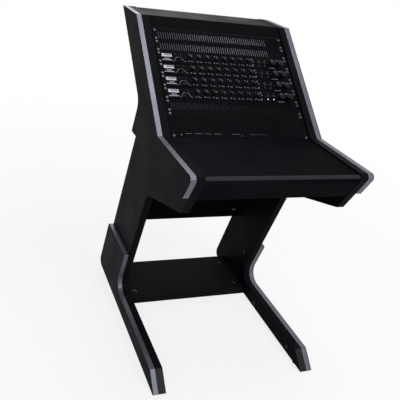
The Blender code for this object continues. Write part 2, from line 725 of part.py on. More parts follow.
for unit_number in range(1, 5):
    unit_y = panel_centre(7 - unit_number, 1)
    turning = unit_number == 1
    make_faceplate(unit_number, unit_y, turning)
    make_chassis(unit_number, unit_y)
    for knob_side, knob_x in zip(("left", "right"), MAIN_KNOB_X):
        make_main_knob(f"unit_{unit_number}_main_knob_{knob_side}", knob_x, unit_y + MAIN_KNOB_RISE)
    for button_side, button_x in zip(("left", "right"), BUTTON_X):
        make_button(f"unit_{unit_number}_button_{button_side}", button_x, unit_y + BUTTON_RISE)
    if turning:
        for knob_number, knob_x in enumerate(channel_places(), start=1):
            make_channel_knob(
                f"unit_{unit_number}_channel_knob_{knob_number}", knob_x, unit_y + CHANNEL_RISE)


# Glides: threaded feet whose discs carry the side panels
def make_glide(side, sign, place, depth):
    lift = FOOT_UNDERSIDE - SEAT_GAP
    stem_top = FOOT_UNDERSIDE + GLIDE_STEM_LENGTH
    profile = [
        (0.0, stem_top), (GLIDE_STEM_RADIUS, stem_top), (GLIDE_STEM_RADIUS, lift),
        (GLIDE_RADIUS, lift), (GLIDE_RADIUS, GLIDE_BASE_LIP), (GLIDE_RADIUS - GLIDE_BASE_LIP, 0.0),
        (0.0, 0.0)]
    turned_object(
        f"glide_{side}_{place}", profile, DISC_SIDES, DESK_FRAME,
        (sign * (HALF_BAY + PANEL_THICKNESS / 2), depth, 0.0), GLIDE_PLASTIC)


for side_name, side_sign in (("left", -1.0), ("right", 1.0)):
    for place_name, place_depth in glide_places():
        make_glide(side_name, side_sign, place_name, place_depth)


# Cam locks: slotted discs let into a board near its end
def make_cam(name, board, location, tilt):
    mesh = cylinder_mesh(name, CAM_RADIUS, -CAM_LENGTH, CAM_STAND, DISC_SIDES)
    cam = add_object(name, mesh, DESK_FRAME, location, CAM_METAL)
    cam.rotation_euler = (tilt, 0.0, 0.0)
    slot = box_mesh(
        name + "_slot", (2 * (CAM_RADIUS + CUT_OVERRUN), CAM_SLOT_WIDTH, 2 * CAM_SLOT_DEPTH),
        (0.0, 0.0, CAM_STAND))
    slot_cutter = add_object(name + "_slot", slot, DESK_FRAME, location, cutter=True)
    slot_cutter.rotation_euler = (tilt, 0.0, 0.0)
    boolean(cam, slot_cutter, "DIFFERENCE")
    pocket = cylinder_mesh(
        name + "_pocket", CAM_RADIUS + SEAT_GAP, -CAM_LENGTH - SEAT_GAP, CUT_OVERRUN, DISC_SIDES)
    pocket_cutter = add_object(name + "_pocket", pocket, DESK_FRAME, location, cutter=True)
    pocket_cutter.rotation_euler = (tilt, 0.0, 0.0)
    boolean(board, pocket_cutter, "DIFFERENCE")


CAM_X = BOARD_WIDTH / 2 - CAM_FROM_END
MODESTY_FACE_TILT = math.pi / 2 - LEG_LEAN
for side_name, side_sign in (("left", -1.0), ("right", 1.0)):
    shelf = PARTS.objects["bottom_shelf"]
    for place_name, place_depth in (("front", SHELF_CAM_FRONT), ("rear", SHELF_CAM_REAR)):
        make_cam(
            f"shelf_cam_{side_name}_{place_name}", shelf,
            (side_sign * CAM_X, SHELF_FRONT + place_depth, SHELF_TOP), 0.0)
    cam_height = MODESTY_BOTTOM + MODESTY_CAM_RISE
    make_cam(
        f"modesty_cam_{side_name}", PARTS.objects["modesty_panel"],
        (side_sign * CAM_X, leg_rear_depth(cam_height, MODESTY_FRONT_INSET), cam_height),
        MODESTY_FACE_TILT)

for part in PARTS.objects:
    if part.type == "MESH":
        shade_round(part.data)
bpy.context.view_layer.update()
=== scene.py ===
# %% [markdown]
# # A studio rack sidecar
#
# This is a piece of studio furniture: two Z-shaped side panels carry a desk, a sloping
# 19-inch rack, a top board, a modesty panel and a floor shelf. Silver-grey cheeks line the
# outside of the side panels round the desk and round the foot.
#
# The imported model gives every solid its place. This lesson dresses it: boards get rounded
# edges and laminate, the rack's units get knobs, buttons, lamps and screws, and the scene
# gets a camera, a floor and soft studio light.

import math

import bmesh
import bpy
from mathutils import Matrix, Vector


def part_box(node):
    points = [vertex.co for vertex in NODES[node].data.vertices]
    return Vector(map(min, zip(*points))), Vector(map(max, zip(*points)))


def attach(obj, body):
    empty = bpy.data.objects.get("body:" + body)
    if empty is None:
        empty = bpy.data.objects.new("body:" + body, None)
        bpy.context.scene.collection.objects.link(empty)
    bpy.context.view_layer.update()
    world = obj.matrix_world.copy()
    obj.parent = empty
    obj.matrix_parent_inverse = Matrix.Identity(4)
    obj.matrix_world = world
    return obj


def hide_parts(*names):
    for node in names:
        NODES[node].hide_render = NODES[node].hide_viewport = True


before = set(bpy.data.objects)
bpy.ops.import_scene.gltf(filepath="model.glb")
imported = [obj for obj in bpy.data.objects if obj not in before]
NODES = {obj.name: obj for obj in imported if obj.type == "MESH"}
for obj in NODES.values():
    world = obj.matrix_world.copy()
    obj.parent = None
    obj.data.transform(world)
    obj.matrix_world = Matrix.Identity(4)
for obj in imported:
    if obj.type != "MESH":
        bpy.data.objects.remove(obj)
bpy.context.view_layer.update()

# %% [markdown]
# ## Sizes
#
# The side profile is drawn as points of depth behind the desk's nose and height above the
# floor, as a joiner would mark them on the board. The rack face is a drawing plane of its
# own: x across, y up the slope and z out of the face. Both planes are measured from the
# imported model, so a piece lands where its solid is.

# %% Sizes of the profile, the rack and the boards
SIDES = (("left", -1.0), ("right", 1.0))
HALF_BAY = 0.245
PANEL_THICKNESS = 0.025
BOARD_THICKNESS = 0.025
CHEEK_THICKNESS = 0.019
SEAT_GAP = 0.0003
DESK_HEIGHT = 0.74
KNEE_DEPTH = 0.27
SLOPE = math.radians(39.24)
RACK_UNIT = 0.04445
RACK_START = -0.002
HEADER_RISE = 0.0493
FACE_LENGTH = RACK_START + 9 * RACK_UNIT + HEADER_RISE
TOP_HEIGHT = DESK_HEIGHT + FACE_LENGTH * math.sin(SLOPE)
TOP_FRONT = KNEE_DEPTH + FACE_LENGTH * math.cos(SLOPE)
TOP_DEPTH = 0.157
TOP_REAR = TOP_FRONT + TOP_DEPTH
BOARD_INSET = 0.0045
TOP_INSET = 0.001
SHELF_FRONT = 0.403
SHELF_REAR = 0.632
MODESTY_LOW = 0.264
MODESTY_HIGH = 0.6
MODESTY_BACK = 0.009
MODESTY_FRONT = MODESTY_BACK + BOARD_THICKNESS
CHIN = (0.0585, 0.602)
UNDERCUT = math.radians(25.5)
BELLY = math.radians(18.1)
LEAN = math.radians(15.9)
LEG_FRONT_FOOT = (0.4718, 0.0)
LEG_WIDTH = 0.2125
LEG_REAR_FOOT = (LEG_FRONT_FOOT[0] + LEG_WIDTH / math.cos(LEAN), 0.0)
FOOT_TOP = 0.0565
FOOT_BASE = 0.006


# %% The rack's drawing plane
def moved(x, y, z):
    return Matrix.Translation((x, y, z))


def turned(angle, axis="Z"):
    return Matrix.Rotation(angle, 4, axis)


depth_centre = SHELF_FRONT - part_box("bottom_shelf")[0].y
RACK_PLANE = moved(0.0, KNEE_DEPTH - depth_centre, DESK_HEIGHT) @ turned(SLOPE, "X")
print("depth centre", round(depth_centre, 5), "top", round(TOP_HEIGHT, 4))

# %% [markdown]
# ## Working by hand in edit mode
#
# Each piece starts as a primitive and is shaped in edit mode. Operators act on whatever is
# selected, so a small helper picks faces, edges or points by their place, as the mouse
# would. A second helper adds a finished modifier and applies it at once, and a few more
# round a rim, sink a step or cut one piece with another.

# %% Helpers for edit mode
def clear_selection():
    bpy.ops.object.select_all(action="DESELECT")


def alone(piece):
    clear_selection()
    piece.select_set(True)
    bpy.context.view_layer.objects.active = piece


def enter(piece):
    alone(piece)
    bpy.ops.object.mode_set(mode="EDIT")


def leave():
    bpy.ops.object.mode_set(mode="OBJECT")


def select_whole():
    bpy.ops.mesh.select_all(action="SELECT")


def pick(piece, kind, test):
    """Selects the faces, edges or points that pass the test, and nothing else."""
    bpy.ops.mesh.select_mode(type=kind)
    bpy.ops.mesh.select_all(action="DESELECT")
    work = bmesh.from_edit_mesh(piece.data)
    items = {"FACE": work.faces, "EDGE": work.edges, "VERT": work.verts}[kind]
    for item in items:
        if test(item):
            item.select_set(True)
    work.select_flush_mode()
    bmesh.update_edit_mesh(piece.data)


def apply_modifier(piece, kind, **settings):
    alone(piece)
    modifier = piece.modifiers.new(kind.lower(), kind)
    for key, value in settings.items():
        setattr(modifier, key, value)
    bpy.ops.object.modifier_apply(modifier=modifier.name)


def smooth(piece, degrees=40.0, weighted=False):
    alone(piece)
    bpy.ops.object.shade_smooth_by_angle(angle=math.radians(degrees))
    if weighted:
        apply_modifier(piece, "WEIGHTED_NORMAL", keep_sharp=True)


# %% Helpers that start a piece
def named(name):
    piece = bpy.context.object
    piece.name = name
    piece.data.name = name
    bpy.ops.object.transform_apply(location=True, rotation=True, scale=True)
    return piece


def start_box(name, size, centre=(0.0, 0.0, 0.0)):
    clear_selection()
    bpy.ops.mesh.primitive_cube_add(size=1.0, location=centre)
    bpy.context.object.scale = size
    return named(name)


def start_disc(name, radius, low, high, sides, x=0.0, y=0.0):
    clear_selection()
    bpy.ops.mesh.primitive_cylinder_add(
        vertices=sides, radius=radius, depth=high - low, location=(x, y, (low + high) / 2))
    return named(name)


def bevel_all(piece, offset, segments):
    enter(piece)
    select_whole()
    bpy.ops.mesh.bevel(offset=offset, segments=segments, affect="EDGES")
    leave()


def eased_box(name, size, centre, edge, segments=2):
    """A box with its edges rounded, as a moulded or sanded piece has."""
    piece = start_box(name, size, centre)
    bevel_all(piece, edge, segments)
    smooth(piece, weighted=True)
    return piece


def copy_of(model, name, matrix):
    """A copy with its own mesh, moved in the mesh so that its object stays at the origin."""
    copied = bpy.data.objects.new(name, model.data.copy())
    copied.data.name = name
    copied.data.transform(matrix)
    bpy.context.scene.collection.objects.link(copied)
    return copied


def join(pieces):
    alone(pieces[0])
    for piece in pieces:
        piece.select_set(True)
    if len(pieces) > 1:
        bpy.ops.object.join()
    return pieces[0]


def remove(*pieces):
    for piece in pieces:
        bpy.data.objects.remove(piece, do_unlink=True)


def on_face(x, rise, out=0.0):
    """The place of a point on the rack's drawing plane, as a matrix for a copy."""
    return RACK_PLANE @ moved(x, rise, out)


def settle(piece, material=None, replaces=(), body="sidecar"):
    """Gives a piece its finish, the solids it stands for and its body."""
    if material is not None:
        piece.data.materials.clear()
        piece.data.materials.append(material)
    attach(piece, body)
    if replaces:
        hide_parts(*replaces)
    return piece


def dressed_copy(model, name, matrix, material=None, replaces=(), body="sidecar"):
    return settle(copy_of(model, name, matrix), material, replaces, body)


# %% Helpers for rims, steps and cuts
def faces_up(face):
    return face.normal.z > 0.9


def faces_down(face):
    return face.normal.z < -0.9


def round_rim(piece, offset, segments, test=faces_up):
    """Rounds the rim of the faces that pass the test."""
    enter(piece)
    pick(piece, "FACE", test)
    bpy.ops.mesh.bevel(offset=offset, segments=segments, affect="EDGES")
    leave()


def step_in(piece, steps, test=faces_up):
    """Insets the faces that pass the test, once for each pair of thickness and depth."""
    enter(piece)
    pick(piece, "FACE", test)
    for thickness, depth in steps:
        bpy.ops.mesh.inset(thickness=thickness, depth=depth)
    leave()


def ease(piece, width, segments):
    apply_modifier(piece, "BEVEL", width=width, segments=segments, limit_method="ANGLE")


def cut(piece, cutter):
    apply_modifier(piece, "BOOLEAN", operation="DIFFERENCE", solver="EXACT", object=cutter)
    remove(cutter)


def cut_cross(piece, blade_size, height):
    """Cuts two crossing slots with a blade that is turned a quarter for the second."""
    for turn in (0.0, math.pi / 2):
        blade = start_box("cross_blade", blade_size, (0.0, 0.0, height))
        blade.data.transform(turned(turn))
        cut(piece, blade)


# %% [markdown]
# ## Finishes
#
# Nothing here is one flat colour. Laminate has a fine printed grain and a pressed texture,
# lacquer has flakes, powder coat has an orange-peel surface, and moulded plastic has a
# spark-eroded one. Each recipe reads Object coordinates, so the scale is in real metres.

# %% A recipe for a speckled finish
def shade_node(owner, kind, inputs=(), **settings):
    node = owner.node_tree.nodes.new(kind)
    for key, value in settings.items():
        setattr(node, key, value)
    for key, value in inputs:
        node.inputs[key].default_value = value
    return node


def wire(source, output, target, name):
    source.id_data.links.new(source.outputs[output], target.inputs[name])


def speckled(name, dark, light, grain, rough, bump, metallic=0.0, specular=0.5, stretch=None):
    """Colour and roughness drift with a coarse noise, and a fine one raises the surface.

    grain is the fine noise's scale, rough the lowest and highest roughness, and bump the
    height of the texture in metres. stretch pulls the grain along one direction."""
    material = bpy.data.materials.new(name)
    material.use_nodes = True
    shader = material.node_tree.nodes["Principled BSDF"]
    shader.inputs["Metallic"].default_value = metallic
    shader.inputs["Specular IOR Level"].default_value = specular
    place = shade_node(material, "ShaderNodeTexCoord")
    fine = shade_node(material, "ShaderNodeTexNoise", [("Scale", grain), ("Detail", 3.0)])
    if stretch is None:
        wire(place, "Object", fine, "Vector")
    else:
        mapping = shade_node(material, "ShaderNodeMapping", [("Scale", stretch)])
        wire(place, "Object", mapping, "Vector")
        wire(mapping, "Vector", fine, "Vector")
    drift = shade_node(material, "ShaderNodeTexNoise", [("Scale", 9.0), ("Detail", 4.0)])
    wire(place, "Object", drift, "Vector")
    both = shade_node(material, "ShaderNodeMath", operation="ADD")
    wire(fine, "Fac", both, 0)
    wire(drift, "Fac", both, 1)
    colours = shade_node(material, "ShaderNodeValToRGB")
    colours.color_ramp.elements[0].position = 0.35
    colours.color_ramp.elements[0].color = (*dark, 1.0)
    colours.color_ramp.elements[1].position = 0.65
    colours.color_ramp.elements[1].color = (*light, 1.0)
    half = shade_node(material, "ShaderNodeMath", [(1, 0.5)], operation="MULTIPLY")
    wire(both, "Value", half, 0)
    wire(half, "Value", colours, "Fac")
    wire(colours, "Color", shader, "Base Color")
    spread = shade_node(
        material, "ShaderNodeMapRange",
        [("From Min", 0.35), ("From Max", 0.65), ("To Min", rough[0]), ("To Max", rough[1])])
    wire(drift, "Fac", spread, "Value")
    wire(spread, "Result", shader, "Roughness")
    raised = shade_node(
        material, "ShaderNodeBump", [("Strength", 0.6), ("Distance", bump)])
    wire(fine, "Fac", raised, "Height")
    wire(raised, "Normal", shader, "Normal")
    return material


# %% Board, lacquer and metal finishes
BLACK_LAMINATE = speckled(
    "black_laminate", (0.0018, 0.0018, 0.0026), (0.0034, 0.0034, 0.0046), 900.0,
    (0.44, 0.54), 0.00006, specular=0.012)
OUTER_LAMINATE = speckled(
    "outer_laminate", (0.006, 0.006, 0.0072), (0.01, 0.01, 0.0118), 520.0,
    (0.44, 0.56), 0.0001, specular=0.01)
EDGE_BAND = speckled(
    "edge_band", (0.0045, 0.0045, 0.0056), (0.0078, 0.0078, 0.0094), 1200.0,
    (0.34, 0.44), 0.00003, specular=0.006)
# A lighter band for the desk's rounded nose and the tips of the feet: a painted highlight.
PAINTED_HIGHLIGHT_BAND = speckled(
    "painted_highlight_band", (0.018, 0.018, 0.021), (0.027, 0.027, 0.031), 1200.0,
    (0.32, 0.42), 0.00003, specular=0.05)
DESK_LAMINATE = speckled(
    "desk_laminate", (0.004, 0.004, 0.0054), (0.0066, 0.0066, 0.0086), 700.0,
    (0.4, 0.5), 0.00008, specular=0.002)
DESK_SURFACE = speckled(
    "desk_surface", (0.0058, 0.0058, 0.0077), (0.0094, 0.0094, 0.0122), 700.0,
    (0.4, 0.5), 0.00008, specular=0.002)
POWDER_COAT = speckled(
    "powder_coat", (0.0022, 0.0022, 0.0032), (0.0038, 0.0038, 0.0052), 1400.0,
    (0.42, 0.52), 0.00005, specular=0.012)
# A lighter finish for a few edge faces: a painted highlight.
PAINTED_EDGE_HIGHLIGHT = speckled(
    "painted_edge_highlight", (0.016, 0.016, 0.02), (0.03, 0.03, 0.036), 1400.0,
    (0.38, 0.5), 0.00003, specular=0.05)
CHASSIS_PAINT = speckled(
    "chassis_paint", (0.006, 0.006, 0.007), (0.012, 0.012, 0.014), 1100.0,
    (0.4, 0.55), 0.00004, specular=0.12)
RAIL_ZINC = speckled(
    "rail_black_zinc", (0.012, 0.012, 0.015), (0.024, 0.024, 0.028), 500.0,
    (0.34, 0.48), 0.00002, metallic=0.8, stretch=(1.0, 8.0, 8.0))
KNOB_BLACK = speckled(
    "knob_black", (0.003, 0.003, 0.004), (0.006, 0.006, 0.0075), 2500.0,
    (0.24, 0.34), 0.00003, specular=0.1)
BUTTON_BLACK = speckled(
    "button_black", (0.004, 0.004, 0.006), (0.009, 0.009, 0.011), 2200.0,
    (0.32, 0.42), 0.00002, specular=0.15)
GLIDE_BLACK = speckled(
    "glide_black", (0.006, 0.006, 0.006), (0.013, 0.013, 0.013), 1500.0,
    (0.5, 0.62), 0.00004, specular=0.12)
SILVER_LACQUER = speckled(
    "silver_lacquer", (0.092, 0.098, 0.118), (0.138, 0.145, 0.172), 2200.0,
    (0.32, 0.42), 0.00003, metallic=0.45, specular=0.2)
SCREW_STEEL = speckled(
    "screw_steel", (0.05, 0.05, 0.06), (0.1, 0.1, 0.114), 900.0,
    (0.26, 0.4), 0.00001, metallic=1.0)
SOCKET_NICKEL = speckled(
    "socket_nickel", (0.11, 0.11, 0.125), (0.19, 0.19, 0.21), 900.0,
    (0.22, 0.36), 0.00001, metallic=1.0)
CAM_ZINC = speckled(
    "cam_zinc", (0.34, 0.34, 0.36), (0.52, 0.52, 0.55), 1200.0,
    (0.3, 0.44), 0.00002, metallic=0.6)
PRINT_GREY = speckled(
    "print_grey", (0.2, 0.2, 0.23), (0.34, 0.34, 0.39), 1600.0,
    (0.45, 0.6), 0.00001, specular=0.2)
PRINT_DIM = speckled(
    "print_dim", (0.06, 0.06, 0.07), (0.11, 0.11, 0.125), 1600.0,
    (0.45, 0.6), 0.00001, specular=0.2)
PRINT_WHITE = speckled(
    "print_white", (0.38, 0.38, 0.44), (0.52, 0.52, 0.59), 700.0,
    (0.45, 0.6), 0.00001, specular=0.2)
KNOB_CAP = speckled(
    "knob_cap", (0.006, 0.005, 0.008), (0.012, 0.01, 0.015), 600.0,
    (0.28, 0.38), 0.00002, metallic=0.7, specular=0.2)
SOCKET_BLACK = speckled(
    "socket_black", (0.002, 0.002, 0.0025), (0.005, 0.005, 0.006), 1800.0,
    (0.35, 0.5), 0.00002, specular=0.08)
# The grey foam seen through the slots stands in for the light behind them: painted light. The dark
# foam stands in for the shade there: painted shade.
SLOT_LIGHT_FOAM = speckled(
    "slot_light_foam", (0.165, 0.17, 0.193), (0.285, 0.293, 0.325), 1300.0,
    (0.85, 0.95), 0.0004, specular=0.1)
SLOT_SHADE_FOAM = speckled(
    "slot_shade_foam", (0.026, 0.026, 0.031), (0.058, 0.058, 0.068), 1300.0,
    (0.85, 0.95), 0.0004, specular=0.1)


# %% Foam and a desk whose colour changes along their length, as painted light and shade
def shaded_along(material, shares):
    """Scales the colour by a share that changes with x, given as pairs of x and share."""
    first, last = shares[0][0], shares[-1][0]
    place = shade_node(material, "ShaderNodeTexCoord")
    axes = shade_node(material, "ShaderNodeSeparateXYZ")
    along = shade_node(
        material, "ShaderNodeMapRange", [("From Min", first), ("From Max", last)])
    ramp = shade_node(material, "ShaderNodeValToRGB")
    while len(ramp.color_ramp.elements) < len(shares):
        ramp.color_ramp.elements.new(0.5)
    for stop, (x, share) in zip(ramp.color_ramp.elements, shares):
        stop.position = (x - first) / (last - first)
        stop.color = (share, share, share, 1.0)
    scaled = shade_node(material, "ShaderNodeVectorMath", operation="MULTIPLY")
    shader = material.node_tree.nodes["Principled BSDF"]
    colour = shader.inputs["Base Color"].links[0].from_node
    wire(place, "Object", axes, "Vector")
    wire(axes, "X", along, "Value")
    wire(along, "Result", ramp, "Fac")
    wire(colour, "Color", scaled, 0)
    wire(ramp, "Color", scaled, 1)
    wire(scaled, "Vector", shader, "Base Color")


# The light foam is darker at both ends and lightest a little left of the middle, and the dark foam
# darkens to the right: painted light and shade.
shaded_along(SLOT_LIGHT_FOAM, [
    (-0.22, 0.42), (-0.12, 0.58), (-0.04, 1.0), (0.06, 0.9), (0.12, 0.82), (0.18, 0.68)])
shaded_along(SLOT_SHADE_FOAM, [(-0.22, 1.0), (-0.06, 0.65), (0.06, 0.5), (0.22, 0.28)])
# On the desk the share stands in for a sheen that falls off to the right.
shaded_along(DESK_SURFACE, [(-0.245, 1.0), (-0.1, 0.8), (0.06, 0.58), (0.245, 0.36)])

# %% Indicator lamps
def lamp(name, tint, glow):
    """A moulded lens: frosted colour with a light behind it."""
    material = speckled(name, tint, tint, 3000.0, (0.18, 0.3), 0.00001)
    shader = material.node_tree.nodes["Principled BSDF"]
    shader.inputs["Emission Color"].default_value = (*tint, 1.0)
    shader.inputs["Emission Strength"].default_value = glow
    return material


LAMP_LIT = lamp("lamp_lit", (0.95, 0.97, 1.0), 0.8)
LAMP_DARK = lamp("lamp_dark", (0.1, 0.11, 0.13), 0.0)
print("finishes:", len(bpy.data.materials))

# %% [markdown]
# ## Boards
#
# A board cut to an outline is drawn as a joiner would rout it. One point is extruded round
# the outline, the loop is filled and the face is extruded to the board's thickness. Rounded
# corners are arcs of short steps, and a narrow bevel eases the rim.

# %% Outlines
ARC_STEPS = 9


def crossing(point_a, angle_a, point_b, angle_b):
    """Where two lines meet, each given by a point and its angle from the depth axis."""
    way_a = (math.cos(angle_a), math.sin(angle_a))
    way_b = (math.cos(angle_b), math.sin(angle_b))
    across = way_a[0] * way_b[1] - way_a[1] * way_b[0]
    gap = (point_b[0] - point_a[0], point_b[1] - point_a[1])
    run = (gap[0] * way_b[1] - gap[1] * way_b[0]) / across
    return (point_a[0] + run * way_a[0], point_a[1] + run * way_a[1])


def rounded(corners):
    """Turns each corner of depth, height and radius into an arc."""
    path = []
    for index, (depth, height, radius) in enumerate(corners):
        here = Vector((depth, height))
        before = (Vector(corners[index - 1][:2]) - here).normalized()
        after = (Vector(corners[(index + 1) % len(corners)][:2]) - here).normalized()
        if radius <= 0.0:
            path.append((here.x, here.y))
            continue
        half_angle = before.angle(after) / 2
        centre = here + (before + after).normalized() * (radius / math.sin(half_angle))
        reach = radius / math.tan(half_angle)
        start = here + before * reach - centre
        turn = start.angle_signed(here + after * reach - centre)
        for step in range(ARC_STEPS + 1):
            spun = Matrix.Rotation(-turn * step / ARC_STEPS, 2) @ start
            path.append((centre.x + spun.x, centre.y + spun.y))
    return path


NOSE = crossing(CHIN, math.pi / 2 + UNDERCUT, (0.0, DESK_HEIGHT), 0.0)
LEG_ANGLE = math.pi / 2 + LEAN
BELLY_CORNER = crossing(CHIN, -BELLY, LEG_FRONT_FOOT, LEG_ANGLE)
ANKLE = crossing(LEG_FRONT_FOOT, LEG_ANGLE, (0.0, FOOT_TOP), 0.0)
HEEL = crossing(LEG_REAR_FOOT, LEG_ANGLE, (0.0, FOOT_BASE), 0.0)
BACK = crossing(LEG_REAR_FOOT, LEG_ANGLE, (TOP_REAR, TOP_HEIGHT), SLOPE)
FOOT_TIP = (-0.0305, FOOT_BASE)
FOOT_FACET = (0.03, FOOT_TOP)


def undercut_depth(height, inset=0.0):
    run = (height - CHIN[1]) * math.tan(UNDERCUT)
    return CHIN[0] - run + inset / math.cos(UNDERCUT)


def leg_depth(height, inset=0.0):
    """The leg's rear edge at a height, or a line parallel to it further forward."""
    return LEG_REAR_FOOT[0] - height * math.tan(LEAN) - inset / math.cos(LEAN)


UPPER_LINE = [
    (*NOSE, 0.014), (KNEE_DEPTH, DESK_HEIGHT, 0.004), (TOP_FRONT, TOP_HEIGHT, 0.004),
    (TOP_REAR, TOP_HEIGHT, 0.0015), (*BACK, 0.045)]
LOWER_LINE = [(*HEEL, 0.025), (*FOOT_TIP, 0.0015), (*FOOT_FACET, 0.004), (*ANKLE, 0.048)]
CHEEK_CUT = DESK_HEIGHT - 0.077
FOOT_CUT = 0.226
leg_front_cut = LEG_FRONT_FOOT[0] - FOOT_CUT * math.tan(LEAN)

SIDE_LINE = UPPER_LINE + LOWER_LINE + [(*BELLY_CORNER, 0.03), (*CHIN, 0.004)]
UPPER_CHEEK_LINE = [(undercut_depth(CHEEK_CUT), CHEEK_CUT, 0.003)] + UPPER_LINE
UPPER_CHEEK_LINE += [(leg_depth(CHEEK_CUT), CHEEK_CUT, 0.003)]
LOWER_CHEEK_LINE = [
    (leg_front_cut, FOOT_CUT, 0.005), (leg_depth(FOOT_CUT), FOOT_CUT, 0.005)]
LOWER_CHEEK_LINE += LOWER_LINE


# %% Cutting a board to its outline
def routed_board(name, corners, ends, edge):
    """A board across two ends in x, with its rim eased by the width edge."""
    low_x, high_x = sorted(ends)
    path = [(depth - depth_centre, height) for depth, height in rounded(corners)]
    clear_selection()
    bpy.ops.mesh.primitive_plane_add(size=0.01, location=(low_x, *path[0]))
    piece = named(name)
    enter(piece)
    bpy.ops.mesh.select_mode(type="VERT")
    select_whole()
    bpy.ops.mesh.merge(type="CENTER")
    for (y0, z0), (y1, z1) in zip(path, path[1:]):
        bpy.ops.mesh.extrude_vertices_move(
            TRANSFORM_OT_translate={"value": (0.0, y1 - y0, z1 - z0)})
    select_whole()
    bpy.ops.mesh.edge_face_add()
    bpy.ops.mesh.extrude_region_move(
        TRANSFORM_OT_translate={"value": (high_x - low_x, 0.0, 0.0)})
    select_whole()
    bpy.ops.mesh.normals_make_consistent(inside=False)
    leave()
    apply_modifier(
        piece, "BEVEL", width=edge, segments=2, limit_method="ANGLE",
        angle_limit=math.radians(55.0), use_clamp_overlap=True)
    smooth(piece, 35.0, weighted=True)
    return piece


# %% [markdown]
# The side panels are laminated board, 25 mm thick. The cheeks follow two stretches of the
# same outline, so they share its corner list. A cheek is a core, sprayed silver-grey round
# its rim, under a thin black sheet, and that sheet shows as a fine dark line along the grey.
# The two layers are cut separately, each with its own eased rim.

# %% Edge banding and painted highlights
def second_finish(piece, finish, test):
    """Gives the faces that pass the test a second finish, as a glued edge band has; some calls use it
    for a painted highlight or painted shade.
    """
    piece.data.materials.append(finish)
    for face in piece.data.polygons:
        if test(face):
            face.material_index = len(piece.data.materials) - 1


# %% Side panels and cheeks
PANEL_OUTER = HALF_BAY + PANEL_THICKNESS
CHEEK_OUTER = PANEL_OUTER + SEAT_GAP + CHEEK_THICKNESS
SHEET_THICKNESS = 0.002
for side, sign in SIDES:
    panel = routed_board(
        f"{side}_side_board", SIDE_LINE, (sign * HALF_BAY, sign * PANEL_OUTER), 0.0006)
    settle(panel, BLACK_LAMINATE, [f"side_panel_{side}"])
    second_finish(panel, EDGE_BAND, lambda face: abs(face.normal.x) < 0.5)
    second_finish(panel, OUTER_LAMINATE, lambda face: sign * face.normal.x > 0.5)
    # The tip facets of the foot take the lighter band: a painted highlight.
    second_finish(panel, PAINTED_HIGHLIGHT_BAND, lambda face: (
        face.center.z < FOOT_TOP and face.normal.y < -0.3 and face.normal.z > 0.3))
    inner = sign * (PANEL_OUTER + SEAT_GAP)
    seam = sign * (CHEEK_OUTER - SHEET_THICKNESS)
    layers = (
        ("silver_cheek", (inner, seam), 0.0011, "silver_lacquer", SILVER_LACQUER),
        ("outer_sheet", (seam, sign * CHEEK_OUTER), 0.0007, "black_board", OUTER_LAMINATE))
    for region, line in (("upper", UPPER_CHEEK_LINE), ("lower", LOWER_CHEEK_LINE)):
        for layer, ends, edge, slot, finish in layers:
            cheek = routed_board(f"{side}_{region}_{layer}", line, ends, edge)
            settle(cheek, finish, [f"{region}_cheek_{side}"])
            print(cheek.name, len(cheek.data.polygons), "faces")

# %% [markdown]
# The boards between the side panels are straight lengths of the same kind, seen end on as
# outlines: the desk with its rounded nose, the fascia under it, the modesty panel along the
# legs' rear, the shelf between the feet, and the top board and header that close the rack.

# %% Boards across the bay
HALF_BOARD = HALF_BAY - SEAT_GAP
DESK_TOP = DESK_HEIGHT - BOARD_INSET
DESK_UNDER = DESK_TOP - BOARD_THICKNESS
FASCIA_TOP = DESK_UNDER - SEAT_GAP
FASCIA_BOTTOM = DESK_HEIGHT - 0.088
NOSE_SETBACK = 0.002
FASCIA_THICKNESS = 0.019
FASCIA_BACK = NOSE_SETBACK + FASCIA_THICKNESS
DESK_GAP = 0.0008
DESK_REAR = (
    KNEE_DEPTH + RACK_START * math.cos(SLOPE) + BOARD_INSET * math.sin(SLOPE) - DESK_GAP)
FACE_POINT = (
    KNEE_DEPTH + BOARD_INSET * math.sin(SLOPE), DESK_HEIGHT - BOARD_INSET * math.cos(SLOPE))
REAR_POINT = (TOP_REAR - TOP_INSET / math.sin(SLOPE), TOP_HEIGHT)
SHELF_TOP = FOOT_BASE + BOARD_THICKNESS
TOP_LEVEL = TOP_HEIGHT - TOP_INSET
TOP_BOARD_THICKNESS = 0.022
TOP_UNDER = TOP_LEVEL - TOP_BOARD_THICKNESS
HEADER_GAP = 0.0015
HEADER_THICKNESS = 0.018


def face_at(height):
    return crossing(FACE_POINT, SLOPE, (0.0, height), 0.0)


def behind_face(rise, inward):
    return (
        KNEE_DEPTH + rise * math.cos(SLOPE) + inward * math.sin(SLOPE),
        DESK_HEIGHT + rise * math.sin(SLOPE) - inward * math.cos(SLOPE))


header_low = FACE_LENGTH - HEADER_RISE + HEADER_GAP
header_back = BOARD_INSET + HEADER_THICKNESS
header_front = face_at(TOP_UNDER - SEAT_GAP)

